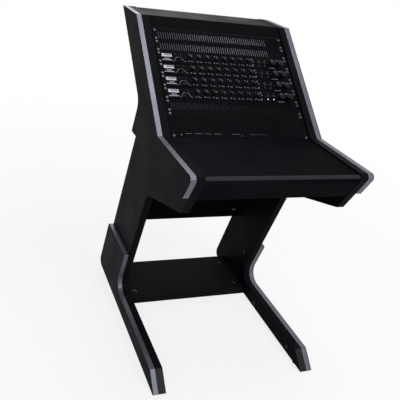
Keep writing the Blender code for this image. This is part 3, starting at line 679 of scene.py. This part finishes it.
# %% Each board's outline, with its name, finish, slot and eased edge
BOARDS = {
    "desk_top": ("desk_board", DESK_SURFACE, "desk_skin", 0.0005, [
        (undercut_depth(DESK_TOP, NOSE_SETBACK), DESK_TOP, 0.011),
        (DESK_REAR, DESK_TOP, 0.0), (DESK_REAR, DESK_UNDER, 0.0),
        (undercut_depth(DESK_UNDER, NOSE_SETBACK), DESK_UNDER, 0.0)]),
    "desk_fascia": ("fascia_board", DESK_LAMINATE, "desk_skin", 0.0006, [
        (undercut_depth(FASCIA_TOP, NOSE_SETBACK), FASCIA_TOP, 0.0),
        (undercut_depth(FASCIA_TOP, FASCIA_BACK), FASCIA_TOP, 0.0),
        (undercut_depth(FASCIA_BOTTOM, FASCIA_BACK), FASCIA_BOTTOM, 0.0),
        (undercut_depth(FASCIA_BOTTOM, NOSE_SETBACK), FASCIA_BOTTOM, 0.002)]),
    "modesty_panel": ("modesty_board", BLACK_LAMINATE, "black_board", 0.0008, [
        (leg_depth(MODESTY_LOW, MODESTY_FRONT), MODESTY_LOW, 0.0),
        (leg_depth(MODESTY_HIGH, MODESTY_FRONT), MODESTY_HIGH, 0.0),
        (leg_depth(MODESTY_HIGH, MODESTY_BACK), MODESTY_HIGH, 0.0),
        (leg_depth(MODESTY_LOW, MODESTY_BACK), MODESTY_LOW, 0.0)]),
    # The shelf takes the outer faces' lighter laminate, which on its top also stands in for the sheen
    # of the overhead light: painted sheen.
    "bottom_shelf": ("floor_shelf", OUTER_LAMINATE, "black_board", 0.0008, [
        (SHELF_FRONT, FOOT_BASE, 0.0), (SHELF_FRONT, SHELF_TOP, 0.002),
        (SHELF_REAR, SHELF_TOP, 0.0), (SHELF_REAR, FOOT_BASE, 0.0)]),
    "top_board": ("top_lid_board", BLACK_LAMINATE, "black_board", 0.0006, [
        (*face_at(TOP_LEVEL), 0.002),
        (*crossing(REAR_POINT, SLOPE, (0.0, TOP_LEVEL), 0.0), 0.002),
        (*crossing(REAR_POINT, SLOPE, (0.0, TOP_UNDER), 0.0), 0.0), (*face_at(TOP_UNDER), 0.0)]),
    "header_panel": ("header_strip", BLACK_LAMINATE, "black_board", 0.0005, [
        (*behind_face(header_low, BOARD_INSET), 0.001), (*header_front, 0.0),
        (*crossing(behind_face(0.0, header_back), SLOPE, header_front, 0.0), 0.0),
        (*behind_face(header_low, header_back), 0.0)]),
}
for node, (name, finish, slot, edge, corners) in BOARDS.items():
    board = routed_board(name, corners, (-HALF_BOARD, HALF_BOARD), edge)
    settle(board, finish, [node])
    if node in ("modesty_panel", "header_panel", "desk_fascia"):
        second_finish(board, OUTER_LAMINATE, lambda face: face.normal.y > 0.5)
    if node == "desk_top":
        # The rounded nose of the desk takes the lighter band: a painted highlight.
        second_finish(board, PAINTED_HIGHLIGHT_BAND, lambda face: face.normal.y < -0.2 and face.normal.z > 0.2)
    if node == "header_panel":
        # The rounded lower front edge takes the lighter finish: a painted highlight.
        second_finish(board, PAINTED_EDGE_HIGHLIGHT, lambda face: face.normal.y < -0.8)
    low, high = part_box(node)
    print(name, "covers", [round(value, 4) for value in (high - low)])

# %% [markdown]
# ## Cam locks, plugs and glides
#
# Flat-pack boards are drawn together by cam locks: a slotted zinc disc in a bored pocket.
# One is modelled with its rim and cross slot, and copied to the six places. Its recess is
# deep enough for the far wall to glint in the shade of the desk. The round caps on the side
# panels' inner faces hide the bolts that hold the cheeks. The glides are plastic feet on
# threaded stems.

# %% One cam lock, copied to its six places
CAM_RADIUS = 0.0075
CAM_RIM = 0.001
CAM_BLADE = (0.0084, 0.0014, 0.003)
cam = start_disc("cam_model", CAM_RADIUS, low=-0.012, high=0.0004, sides=40)
step_in(cam, ((0.0011, 0.0), (0.0004, -0.0014)))
cut_cross(cam, CAM_BLADE, height=-0.001)
ease(cam, 0.0002, 2)
smooth(cam, 35.0)
cam.data.materials.append(CAM_ZINC)
second_finish(cam, BUTTON_BLACK, lambda face: face.center.xy.length > CAM_RADIUS - CAM_RIM)

CAM_X = HALF_BOARD - 0.034
CAM_DEPTHS = (("front", SHELF_FRONT + 0.04), ("rear", SHELF_FRONT + 0.18))
CAM_HEIGHT = MODESTY_LOW + 0.044
CAM_TURN = turned(0.5)
FACE_TURN = turned(math.pi / 2 - LEAN, "X")
for side, sign in SIDES:
    places = {
        f"shelf_cam_{side}_{place}": moved(sign * CAM_X, depth - depth_centre, SHELF_TOP)
        for place, depth in CAM_DEPTHS}
    modesty_face = leg_depth(CAM_HEIGHT, MODESTY_FRONT) - depth_centre
    places[f"modesty_cam_{side}"] = moved(sign * CAM_X, modesty_face, CAM_HEIGHT) @ FACE_TURN
    for node, matrix in places.items():
        lock = node.replace("cam", "camlock")
        dressed_copy(cam, lock, matrix @ CAM_TURN, replaces=[node])
remove(cam)
print("cam locks: 6")

# %% Bolt caps on the inner faces of the side panels
cap = start_disc("cap_model", radius=0.0065, low=0.0, high=0.0016, sides=32)
round_rim(cap, 0.001, 3)
smooth(cap, 40.0)
# Each place is a depth and a height.
CAP_PLACES = ((0.468, 0.159), (0.317, 0.0265), (0.072, 0.0285))
for side, sign in SIDES:
    for number, (depth, height) in enumerate(CAP_PLACES, start=1):
        place = moved(sign * HALF_BAY, depth - depth_centre, height)
        dressed_copy(
            cap, f"{side}_bolt_cap_{number}", place @ turned(-sign * math.pi / 2, "Y"),
            BUTTON_BLACK)
remove(cap)

# %% Glides
glide = start_disc("glide_model", radius=0.011, low=0.0, high=FOOT_BASE - SEAT_GAP, sides=48)
round_rim(glide, 0.0012, 3, lambda face: abs(face.normal.z) > 0.9)
stem = start_disc(
    "glide_stem", radius=0.004, low=FOOT_BASE - 0.001, high=FOOT_BASE + 0.02, sides=24)
glide = join([glide, stem])
smooth(glide, 40.0)
for side, sign in SIDES:
    for place, depth in (("front", 0.022), ("rear", 0.64)):
        x = sign * (HALF_BAY + PANEL_THICKNESS / 2)
        node = f"glide_{side}_{place}"
        dressed_copy(
            glide, f"{side}_{place}_foot", moved(x, depth - depth_centre, 0.0),
            GLIDE_BLACK, [node], body=node)
remove(glide)
print("bolt caps: 6, glides: 4")

# %% [markdown]
# ## Rack screws
#
# Every rack panel hangs on four screws, at the standard's hole places: 465.1 mm apart and
# 6.35 mm from the panel's upper and lower edges. A pan head is a short disc whose rim is
# rounded over, with a cross recess, and a black nylon washer keeps it off the paint. Small
# glints on black panels are the first detail that the eye finds, so the heads are real
# geometry.

# %% One screw and its washer
FACE_OUT = -BOARD_INSET
SCREW_TOP = 0.003
DRIVER_BLADE = (0.0042, 0.0009, 0.0022)
screw = start_disc("screw_model", radius=0.004, low=0.0008, high=SCREW_TOP, sides=24)
round_rim(screw, 0.0013, 3)
cut_cross(screw, DRIVER_BLADE, height=SCREW_TOP)
smooth(screw, 35.0)
WASHER_RADIUS = 0.0062
WASHER_THICKNESS = 0.001
washer = start_disc("washer_model", WASHER_RADIUS, 0.0, WASHER_THICKNESS, sides=28)
step_in(washer, ((0.0014, 0.0),))
enter(washer)
pick(washer, "VERT", lambda point: (
    point.co.z > WASHER_THICKNESS / 2 and point.co.xy.length > WASHER_RADIUS - 0.0004))
bpy.ops.transform.translate(value=(0.0, 0.0, -0.0006))
leave()
smooth(washer, 35.0)

HOLE_X = 0.4651 / 2
HOLE_FROM_EDGE = 0.00635
# Each panel is its first rack unit, counted from the desk, and its height in units.
PANELS = [(0, 2)] + [(first, 1) for first in range(2, 9)]
screws, washers = [], []
for first, units in PANELS:
    low_edge = RACK_START + first * RACK_UNIT
    for sign in (-1.0, 1.0):
        for rise in (low_edge + HOLE_FROM_EDGE, low_edge + units * RACK_UNIT - HOLE_FROM_EDGE):
            place = on_face(sign * HOLE_X, rise, FACE_OUT)
            turn = turned(0.7 * len(screws))
            screws.append(copy_of(screw, "rack_screws", place @ turn))
            washers.append(copy_of(washer, "rack_washers", place))
SMALL_SHARE = 0.62
for x in (-0.208, -0.003):
    place = on_face(x, RACK_START + 0.01, FACE_OUT - 0.0005)
    screws.append(copy_of(screw, "rack_screws", place @ Matrix.Scale(SMALL_SHARE, 4)))
remove(screw, washer)
print("rack screws:", len(screws), "washers:", len(washers))
settle(join(screws), SCREW_STEEL)
settle(join(washers), SOCKET_BLACK)

# %% [markdown]
# ## The units' faceplates
#
# Each unit is one rack unit high. Its faceplate is a 3 mm plate with windows for the push
# buttons and a bore for the socket. It is modelled once, cut with Booleans and copied to
# the four places.

# %% Places on the faceplates
PLATE_WIDTH = 0.4826
PLATE_GAP = 0.0008
PLATE_THICKNESS = 0.003
BUTTON_X = (0.1265, 0.1485)
BUTTON_RISE = 0.004
SOCKET_X = -0.166
SOCKET_RISE = -0.005
FIRST_KNOB_X = -0.127
KNOB_SPACING = 0.0304
KNOB_X = [FIRST_KNOB_X + KNOB_SPACING * index for index in range(8)]
KNOB_RISE = 0.0035
MAIN_X = (0.174, 0.203)
MAIN_RISE = -0.001
# Unit 1 fills the seventh rack unit above the desk and unit 4 the fourth.
UNIT_RISE = {number: RACK_START + (7.5 - number) * RACK_UNIT for number in (1, 2, 3, 4)}

# %% The faceplate with its windows, and the two-unit front
plate = eased_box(
    "plate_model", (PLATE_WIDTH, RACK_UNIT - PLATE_GAP, PLATE_THICKNESS),
    (0.0, 0.0, -PLATE_THICKNESS / 2), edge=0.0003)
WINDOW = (0.0093, 0.0093, 0.02)
cutters = [start_box("window", WINDOW, (x, BUTTON_RISE, 0.0)) for x in BUTTON_X]
cutters.append(start_disc("socket_bore", 0.0034, -0.01, 0.01, 24, SOCKET_X, SOCKET_RISE))
cut(plate, join(cutters))
smooth(plate, 35.0)
two_unit = eased_box(
    "two_unit_front", (PLATE_WIDTH, 2 * RACK_UNIT - PLATE_GAP, PLATE_THICKNESS),
    (0.0, RACK_START + RACK_UNIT, FACE_OUT - PLATE_THICKNESS / 2), edge=0.0009, segments=3)
two_unit.data.transform(RACK_PLANE)
settle(two_unit, POWDER_COAT, ["control_panel"])
# The bevel along the upper edge takes the lighter finish: a painted highlight.
second_finish(two_unit, PAINTED_EDGE_HIGHLIGHT, lambda face: (
    face.area < 0.001 and face.center.z > DESK_HEIGHT + 0.045))
for number, rise in UNIT_RISE.items():
    dressed_copy(
        plate, f"unit_{number}_front", on_face(0.0, rise, FACE_OUT),
        POWDER_COAT, [f"unit_{number}_faceplate"])
remove(plate)
print("faceplates: 4")

# %% [markdown]
# ## Knobs
#
# A small knob is a fluted cap on a skirt, with a grey pointer across its top. It starts as
# a cylinder whose side faces are inset one by one, so that every second one sinks and makes
# a finger groove. The large knob is the same idea at nearly twice the size, with a spun
# metal insert on top.

# %% A knob from its sizes
def fluted_knob(name, radius, height, sides, skirt, flute, pointer):
    """skirt is the skirt's height, flute the grooves' step and pointer the bar's width."""
    body = start_disc(name, radius - 0.0008, skirt, height, sides)
    step_in(body, ((0.0006, 0.0005), (0.0007, 0.0), (0.0003, -0.0004)))
    grooves = set()
    for index in range(0, sides, 2):
        middle = 2 * math.pi * (index + 0.5) / sides
        grooves.add((round(math.cos(middle), 3), round(math.sin(middle), 3)))
    enter(body)
    pick(body, "FACE", lambda face: abs(face.normal.z) < 0.1 and (
        round(face.normal.x, 3), round(face.normal.y, 3)) in grooves)
    bpy.ops.mesh.inset(thickness=flute, depth=-flute * 1.6, use_individual=True)
    leave()
    base = start_disc(name + "_skirt", radius, 0.0006, skirt, sides)
    round_rim(base, 0.0006, 2)
    made = join([body, base])
    smooth(made, 30.0)
    made.data.materials.append(KNOB_BLACK)
    bar = start_box(
        "pointer", (pointer, radius * 0.62, 0.0004), (0.0, radius * 0.5, height + 0.0003))
    side = start_box(
        "pointer_side", (pointer, 0.0004, height * 0.55), (0.0, radius - 0.0007, height * 0.68))
    for piece in (bar, side):
        bevel_all(piece, 0.00012, 1)
        piece.data.materials.append(PRINT_GREY)
    return join([made, bar, side])


# %% Small knobs on all four units
small_knob = fluted_knob(
    "small_knob_model", radius=0.0065, height=0.0115, sides=24, skirt=0.0028, flute=0.0003,
    pointer=0.0011)
SETTINGS = (-0.55, 0.35, -0.15, 0.6, -0.35, 0.1, 0.45, -0.7)
for number, rise in UNIT_RISE.items():
    for index, x in enumerate(KNOB_X, start=1):
        turn = turned(SETTINGS[(index + 3 * number) % len(SETTINGS)])
        place = on_face(x, rise + KNOB_RISE, FACE_OUT)
        knob = copy_of(small_knob, f"unit_{number}_knob_{index}", place @ turn)
        node = f"unit_1_channel_knob_{index}"
        if number == 1:
            settle(knob, replaces=[node], body=node)
        else:
            settle(knob)
remove(small_knob)
print("small knobs:", len(UNIT_RISE) * len(KNOB_X))

# %% Large knobs
main_knob = fluted_knob(
    "main_knob_model", radius=0.012, height=0.016, sides=36, skirt=0.0032, flute=0.00035,
    pointer=0.0014)
insert = start_disc("main_knob_insert", radius=0.0072, low=0.0158, high=0.0165, sides=36)
round_rim(insert, 0.0003, 2)
smooth(insert, 35.0)
insert.data.materials.append(KNOB_CAP)
main_knob = join([main_knob, insert])
for number, rise in UNIT_RISE.items():
    for side, x, turn in (("left", MAIN_X[0], 0.5), ("right", MAIN_X[1], -0.8)):
        node = f"unit_{number}_main_knob_{side}"
        dressed_copy(
            main_knob, f"unit_{number}_large_knob_{side}",
            on_face(x, rise + MAIN_RISE, FACE_OUT) @ turned(turn),
            replaces=[node], body=node)
remove(main_knob)
print("large knobs: 8")

# %% [markdown]
# ## Buttons, lamps, sockets and printed marks
#
# The buttons are square caps with a dished top in a thin bezel. Under each is a round lamp,
# lit on the lowest unit as in the photograph. The socket is a ring in black zinc round a
# dark bore. Labels are left as bare pale patches, and the scales are plain dots and ticks.

# %% Push buttons and bezels
BUTTON_SIZE = 0.0085
BUTTON_LENGTH = 0.0105
BUTTON_PROUD = 0.0045
BEZEL_SIZE = 0.0115
BEZEL_HEIGHT = 0.0012
BEZEL_OPENING = 0.0092
button = start_box(
    "button_model", (BUTTON_SIZE, BUTTON_SIZE, BUTTON_LENGTH),
    (0.0, 0.0, BUTTON_PROUD - BUTTON_LENGTH / 2))
step_in(button, ((0.0009, 0.0), (0.0014, -0.0004)))
enter(button)
pick(button, "EDGE", lambda edge: (
    max(abs(point.co.x) for point in edge.verts) > BUTTON_SIZE / 2 - 0.0002))
bpy.ops.mesh.bevel(offset=0.0007, segments=3, affect="EDGES")
leave()
smooth(button, 40.0)
bezel = start_box(
    "bezel_model", (BEZEL_SIZE, BEZEL_SIZE, BEZEL_HEIGHT), (0.0, 0.0, BEZEL_HEIGHT / 2))
cut(bezel, start_box("bezel_hole", (BEZEL_OPENING, BEZEL_OPENING, 0.01)))
ease(bezel, 0.0003, 2)
smooth(bezel, 40.0)
for number, rise in UNIT_RISE.items():
    for side, x in zip(("left", "right"), BUTTON_X):
        node = f"unit_{number}_button_{side}"
        place = on_face(x, rise + BUTTON_RISE, FACE_OUT)
        dressed_copy(
            button, f"unit_{number}_push_{side}", place, BUTTON_BLACK,
            [node], body=node)
        dressed_copy(bezel, f"unit_{number}_bezel_{side}", place, KNOB_BLACK)
remove(button, bezel)
print("buttons: 8")

# %% Lamps, socket rings and bores
LAMP_DROP = 0.0073
lens = start_disc("lens_model", radius=0.0016, low=0.0, high=0.0014, sides=20)
round_rim(lens, 0.0009, 3)
smooth(lens, 40.0)
ring = start_disc("ring_model", 0.0074, 0.0, 0.0024, 40, SOCKET_X, SOCKET_RISE)
cut(ring, start_disc("ring_bore", 0.006, -0.01, 0.01, 40, SOCKET_X, SOCKET_RISE))
ease(ring, 0.0007, 3)
smooth(ring, 35.0)
well = start_disc("well_model", 0.0059, -0.0002, 0.0014, 32, SOCKET_X, SOCKET_RISE)
step_in(well, ((0.0026, 0.0), (0.0001, -0.0013)))
smooth(well, 35.0)
for number, rise in UNIT_RISE.items():
    finish = LAMP_LIT if number == max(UNIT_RISE) else LAMP_DARK
    for side, x in zip(("left", "right"), BUTTON_X):
        place = on_face(x, rise - LAMP_DROP, FACE_OUT)
        dressed_copy(lens, f"unit_{number}_lamp_{side}", place, finish)
    place = on_face(0.0, rise, FACE_OUT)
    dressed_copy(ring, f"unit_{number}_socket_ring", place, RAIL_ZINC)
    dressed_copy(well, f"unit_{number}_socket_well", place, SOCKET_BLACK)
remove(lens, ring, well)
print("lamps: 8, sockets: 4")


# %% Helpers for printed marks
PRINT_HEIGHT = 0.00012
PRINT_OUT = FACE_OUT + 0.00002


def printed_bar(x, rise, width, height, turn=0.0, lift=0.0):
    """A thin printed bar on the rack plane."""
    bar = eased_box("bar", (width, height, PRINT_HEIGHT), (0.0, 0.0, 0.0), 0.00005, 1)
    place = on_face(x, rise, PRINT_OUT + PRINT_HEIGHT / 2 + lift)
    bar.data.transform(place @ turned(turn))
    return bar


def printed_dot(x, rise, radius):
    dot = start_disc("dot", radius, 0.0, PRINT_HEIGHT, 14)
    dot.data.transform(on_face(x, rise, PRINT_OUT))
    return dot


def printed_set(name, finish, pieces):
    made = join(pieces)
    made.name = name
    made.data.name = name
    settle(made, finish)


# %% Printed marks and bare labels
# Each bar is x, rise above the panel's lower edge, width, height, and its turn and lift.
EXTRA_TICKS = (
    (0.103, 0.038, 0.0022, 0.0055, -0.4), (0.107, 0.03, 0.0022, 0.004, -0.4),
    (0.103, 0.0135, 0.0022, 0.007, -0.4), (MAIN_X[0], 0.007, 0.023, 0.0017),
    (MAIN_X[1], 0.0395, 0.009, 0.0018))
FAINT_DOTS = ((0.132, 0.0385), (0.154, 0.0385), (-0.176, 0.037), (-0.157, 0.037))
PRINTS = (
    ("bare_label", PRINT_WHITE, [(-0.2065, 0.0315, 0.0345, 0.0118)]),
    ("label_field", PRINT_DIM, [(-0.203, 0.0337, 0.023, 0.004, 0.0, 0.0001)]),
    ("bare_lines", PRINT_GREY, [
        (-0.2065, 0.0192, 0.017, 0.0032), (-0.207, 0.0138, 0.033, 0.0034)]),
    ("socket_arch", PRINT_DIM, [
        (SOCKET_X, 0.0256, 0.017, 0.0018), (-0.1786, 0.018, 0.0018, 0.0172, -0.52),
        (-0.1534, 0.018, 0.0018, 0.0172, 0.52), (-0.1862, 0.0104, 0.007, 0.0016),
        (-0.1455, 0.0104, 0.007, 0.0016)]))
for number, rise in UNIT_RISE.items():
    low = rise - RACK_UNIT / 2
    marks = []
    for x in KNOB_X:
        marks += [
            printed_bar(x - 0.0004, low + 0.0392, 0.003, 0.0013, -0.35),
            printed_bar(x - 0.0052, low + 0.0135, 0.0015, 0.0066, -0.45),
            printed_dot(x + 0.0036, low + 0.0125, 0.0013),
            printed_bar(x + 0.0092, low + 0.0112, 0.006, 0.0009)]
    marks += [printed_bar(x, low + up, *form) for x, up, *form in EXTRA_TICKS]
    printed_set(f"unit_{number}_marks", PRINT_GREY, marks)
    printed_set(f"unit_{number}_faint_dots", PRINT_DIM, [
        printed_dot(x, low + up, 0.0012) for x, up in FAINT_DOTS])
    for label, finish, bars in PRINTS:
        printed_set(f"unit_{number}_{label}", finish, [
            printed_bar(x, low + up, *form) for x, up, *form in bars])

# %% Dashes on the two-unit panel
LEFT_DASHES = (
    (-0.195, -0.172), (-0.163, -0.137), (-0.132, -0.107), (-0.098, -0.073), (-0.037, -0.01))
RIGHT_DASHES = ((0.025, 0.055), (0.058, 0.088))
for side, spans, height in (("left", LEFT_DASHES, 0.0014), ("right", RIGHT_DASHES, 0.0007)):
    printed_set(f"control_panel_{side}_dashes", PRINT_DIM, [
        printed_bar((start + end) / 2, RACK_START + 0.015, end - start, height)
        for start, end in spans])
print("printed marks on 5 panels")

# %% [markdown]
# ## Painted light behind the vents
#
# Grey shows in the slots of the two upper vents, up to a sharp end before the right rail. That is
# painted light: a grey foam sheet laid behind each panel stands in for the light seen through the
# slots, with a darker piece at its right end as painted shade, and the lower vent has dark foam only,
# also painted shade. A box is subdivided and its rear is raised, as cut foam swells between its glued
# edges.

# %% Strips of foam behind the vents
MATS = (("top", 8, SLOT_LIGHT_FOAM), ("second", 7, SLOT_LIGHT_FOAM), ("lower", 2, SLOT_SHADE_FOAM))
FOAM_REACH = 0.224
FOAM_SEAM = 0.176
FOAM_HEIGHT = 0.034
FOAM_THICKNESS = 0.005
FOAM_GAP = 0.0002
FOAM_SWELL = 0.0012
for name, unit, finish in MATS:
    rise = RACK_START + (unit + 0.5) * RACK_UNIT
    foam = start_box(
        f"{name}_slot_backing", (2 * FOAM_REACH, FOAM_HEIGHT, FOAM_THICKNESS),
        (0.0, 0.0, -FOAM_GAP - FOAM_THICKNESS / 2))
    enter(foam)
    select_whole()
    bpy.ops.mesh.subdivide(number_cuts=7)
    bpy.ops.mesh.bisect(plane_co=(FOAM_SEAM, 0.0, 0.0), plane_no=(1.0, 0.0, 0.0))
    pick(foam, "VERT", lambda point: (
        point.co.z < -FOAM_THICKNESS and abs(point.co.y) < FOAM_HEIGHT * 0.35))
    bpy.ops.transform.translate(value=(0.0, 0.0, -FOAM_SWELL))
    leave()
    smooth(foam, 50.0)
    foam.data.transform(on_face(0.0, rise, FACE_OUT - PLATE_THICKNESS))
    settle(foam, finish)
    # The darker right end is painted shade.
    second_finish(foam, SLOT_SHADE_FOAM, lambda face: face.center.x > FOAM_SEAM)
print("slot backings:", len(MATS))

# %% [markdown]
# ## The units from behind
#
# The rack is open at the back, so the rear of each chassis is seen from there: a mains
# inlet, a row of sockets, a few screws. They are modelled once on the chassis' rear plane
# and copied.

# %% Rear connectors
CHASSIS_DEPTH = 0.16
REAR_OUT = FACE_OUT - PLATE_THICKNESS - SEAT_GAP - CHASSIS_DEPTH
INLET_X = 0.175
REAR_SOCKET_X = [-0.185 + 0.03 * index for index in range(10)]
inlet = start_box("inlet_model", (0.028, 0.021, 0.006), (INLET_X, 0.0, -0.003))
step_in(inlet, ((0.0025, 0.0), (0.0002, -0.0045)), faces_down)
ease(inlet, 0.0006, 2)
smooth(inlet, 40.0)
pin_set = join([
    start_box("pin", (0.002, 0.004, 0.004), (INLET_X + x, y, -0.0035))
    for x, y in ((-0.007, -0.002), (0.0, 0.003), (0.007, -0.002))])
sockets, wells, screws = [], [], []
for x in REAR_SOCKET_X:
    nut = start_disc("nut", 0.0062, -0.0026, 0.0, 6, x, 0.0)
    cut(nut, start_disc("bore", 0.0036, -0.01, 0.01, 24, x, 0.0))
    ease(nut, 0.0004, 1)
    smooth(nut, 30.0)
    sockets.append(nut)
    well = start_disc("well", 0.0035, -0.0012, -0.0002, 24, x, 0.0)
    step_in(well, ((0.0008, 0.0), (0.0001, -0.0008)), faces_down)
    wells.append(well)
sockets, wells = join(sockets), join(wells)
for x, y in ((-0.21, 0.014), (0.21, 0.014), (-0.21, -0.014), (0.21, -0.014), (0.0, 0.016)):
    head = start_disc("rear_screw", 0.0028, -0.0016, 0.0, 20, x, y)
    round_rim(head, 0.0008, 2, faces_down)
    screws.append(head)
screws = join(screws)
smooth(screws, 40.0)

# %% Copies of the connectors on the four chassis
REAR_PIECES = (
    ("mains_inlet", inlet, SOCKET_BLACK, "button_plastic"),
    ("inlet_pins", pin_set, SOCKET_NICKEL, "cam_metal"),
    ("rear_sockets", sockets, SOCKET_NICKEL, "cam_metal"),
    ("rear_socket_wells", wells, SOCKET_BLACK, "button_plastic"),
    ("rear_screws", screws, SOCKET_NICKEL, "cam_metal"))
for number, rise in UNIT_RISE.items():
    for label, model, finish, slot in REAR_PIECES:
        place = on_face(0.0, rise, REAR_OUT)
        dressed_copy(model, f"unit_{number}_{label}", place, finish)
remove(inlet, pin_set, sockets, wells, screws)
print("rear connectors: 4 sets")

# %% [markdown]
# ## Finishes on the solids that stay
#
# The vent panels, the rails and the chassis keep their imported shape, so only their material
# changes.

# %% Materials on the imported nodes
KEPT = {"vent_panel": POWDER_COAT, "rack_rail": RAIL_ZINC, "chassis": CHASSIS_PAINT}
kept = [(solid, KEPT[part]) for part in KEPT for node, solid in NODES.items() if part in node]
for solid, finish in kept:
    for place in solid.material_slots:
        place.material = finish
print("packed nodes with a new finish:", len(kept))

# %% [markdown]
# ## Floor, light and camera
#
# The photograph is a cut-out on white. A pale floor and a white world give the same ground,
# and the floor keeps a soft shadow. A soft lamp hangs overhead where the left cheeks'
# slopes mirror it to the camera, so they shine more than the right ones. The key lamp stands
# in front and to the left, a small one in front catches the tips of the feet, and one at the
# side and one behind light the faces that the camera doesn't see.

# %% The floor
def seen_rays(owner):
    """A value of 1 for rays from the camera, off a glossy surface or through a clear one."""
    rays = shade_node(owner, "ShaderNodeLightPath")
    source, output = rays, "Is Camera Ray"
    for kind in ("Is Glossy Ray", "Is Transmission Ray"):
        either = shade_node(owner, "ShaderNodeMath", operation="MAXIMUM")
        wire(source, output, either, 0)
        wire(rays, kind, either, 1)
        source, output = either, "Value"
    return source


clear_selection()
bpy.ops.mesh.primitive_plane_add(size=60.0, location=(0.0, 0.0, 0.0))
floor = named("studio_floor")
floor_paint = bpy.data.materials.new("floor_paint")
floor_paint.use_nodes = True
floor_shader = floor_paint.node_tree.nodes["Principled BSDF"]
floor_shader.inputs["Roughness"].default_value = 0.9
floor_shader.inputs["Specular IOR Level"].default_value = 0.1
place = shade_node(floor_paint, "ShaderNodeTexCoord")
cloud = shade_node(floor_paint, "ShaderNodeTexNoise", [("Scale", 2.0)])
wire(place, "Object", cloud, "Vector")
tint = shade_node(floor_paint, "ShaderNodeValToRGB")
tint.color_ramp.elements[0].color = (0.84, 0.84, 0.85, 1.0)
tint.color_ramp.elements[1].color = (0.88, 0.88, 0.88, 1.0)
wire(cloud, "Fac", tint, "Fac")
wire(tint, "Color", floor_shader, "Base Color")
distance = shade_node(floor_paint, "ShaderNodeVectorMath", operation="LENGTH")
wire(place, "Object", distance, "Vector")
share = shade_node(
    floor_paint, "ShaderNodeMapRange",
    [("From Min", 0.7), ("From Max", 2.6), ("To Min", 0.8), ("To Max", 1.0)])
wire(distance, "Value", share, "Value")
shown = shade_node(floor_paint, "ShaderNodeMath", operation="MULTIPLY")
wire(share, "Result", shown, 0)
wire(seen_rays(floor_paint), "Value", shown, 1)
white = shade_node(floor_paint, "ShaderNodeEmission", [("Strength", 1.0)])
mixed = shade_node(floor_paint, "ShaderNodeMixShader")
wire(shown, "Value", mixed, "Fac")
wire(floor_shader, "BSDF", mixed, 1)
wire(white, "Emission", mixed, 2)
wire(mixed, "Shader", floor_paint.node_tree.nodes["Material Output"], "Surface")
floor.data.materials.append(floor_paint)

# %% The world
world = bpy.data.worlds.new("studio_world")
bpy.context.scene.world = world
world.use_nodes = True
soft = world.node_tree.nodes["Background"]
soft.inputs["Color"].default_value = (0.95, 0.97, 1.0, 1.0)
soft.inputs["Strength"].default_value = 0.42
seen = shade_node(world, "ShaderNodeBackground", [("Color", (1.0, 1.0, 1.0, 1.0))])
blend = shade_node(world, "ShaderNodeMixShader")
wire(seen_rays(world), "Value", blend, "Fac")
wire(soft, "Background", blend, 1)
wire(seen, "Background", blend, 2)
wire(blend, "Shader", world.node_tree.nodes["World Output"], "Surface")


# %% Lamps
def soft_lamp(name, place, target, size, power):
    light = bpy.data.lights.new(name, "AREA")
    light.shape = "SQUARE"
    light.size = size
    light.energy = power
    made = bpy.data.objects.new(name, light)
    bpy.context.scene.collection.objects.link(made)
    made.location = place
    made.rotation_euler = (Vector(target) - Vector(place)).to_track_quat("-Z", "Y").to_euler()


soft_lamp("top_lamp", (0.26, -0.07, 2.4), (-0.05, 0.0, 0.8), 0.8, 12.0)
soft_lamp("key_lamp", (-1.9, -2.3, 2.0), (0.0, -0.1, 0.6), 1.6, 22.0)
soft_lamp("front_lamp", (0.7, -2.05, 2.2), (-0.1, -0.2, 0.4), 0.8, 19.0)
soft_lamp("side_lamp", (3.0, 0.6, 0.7), (0.0, 0.0, 0.6), 1.0, 18.0)
soft_lamp("back_lamp", (0.4, 2.6, 2.4), (0.0, 0.0, 0.8), 2.0, 26.0)

# %% [markdown]
# The camera stands about where the photograph was taken from: in front, to the left, a
# little above the top. The photograph is a part of a wider picture, so its rack runs level
# although it is seen from the left. A small lens shift and a small roll give nearly the same framing,
# and the shift stays small so that views from other sides still hold the whole object.

# %% Camera
CAMERA_PLACE = (-0.8335, -1.4652, 1.2935)
CAMERA_YAW = math.radians(22.144)
CAMERA_PITCH = math.radians(26.206)
CAMERA_ROLL = math.radians(9.064)
camera = bpy.data.objects.new("camera", bpy.data.cameras.new("camera"))
bpy.context.scene.collection.objects.link(camera)
camera.data.lens = 48.1
camera.data.sensor_width = 36.0
camera.data.shift_x = 0.12
camera.data.shift_y = -0.03
camera.matrix_world = (
    moved(*CAMERA_PLACE) @ turned(-CAMERA_YAW) @ turned(math.pi / 2 - CAMERA_PITCH, "X")
    @ turned(CAMERA_ROLL))
bpy.context.scene.camera = camera
bpy.context.scene.view_settings.view_transform = "Standard"
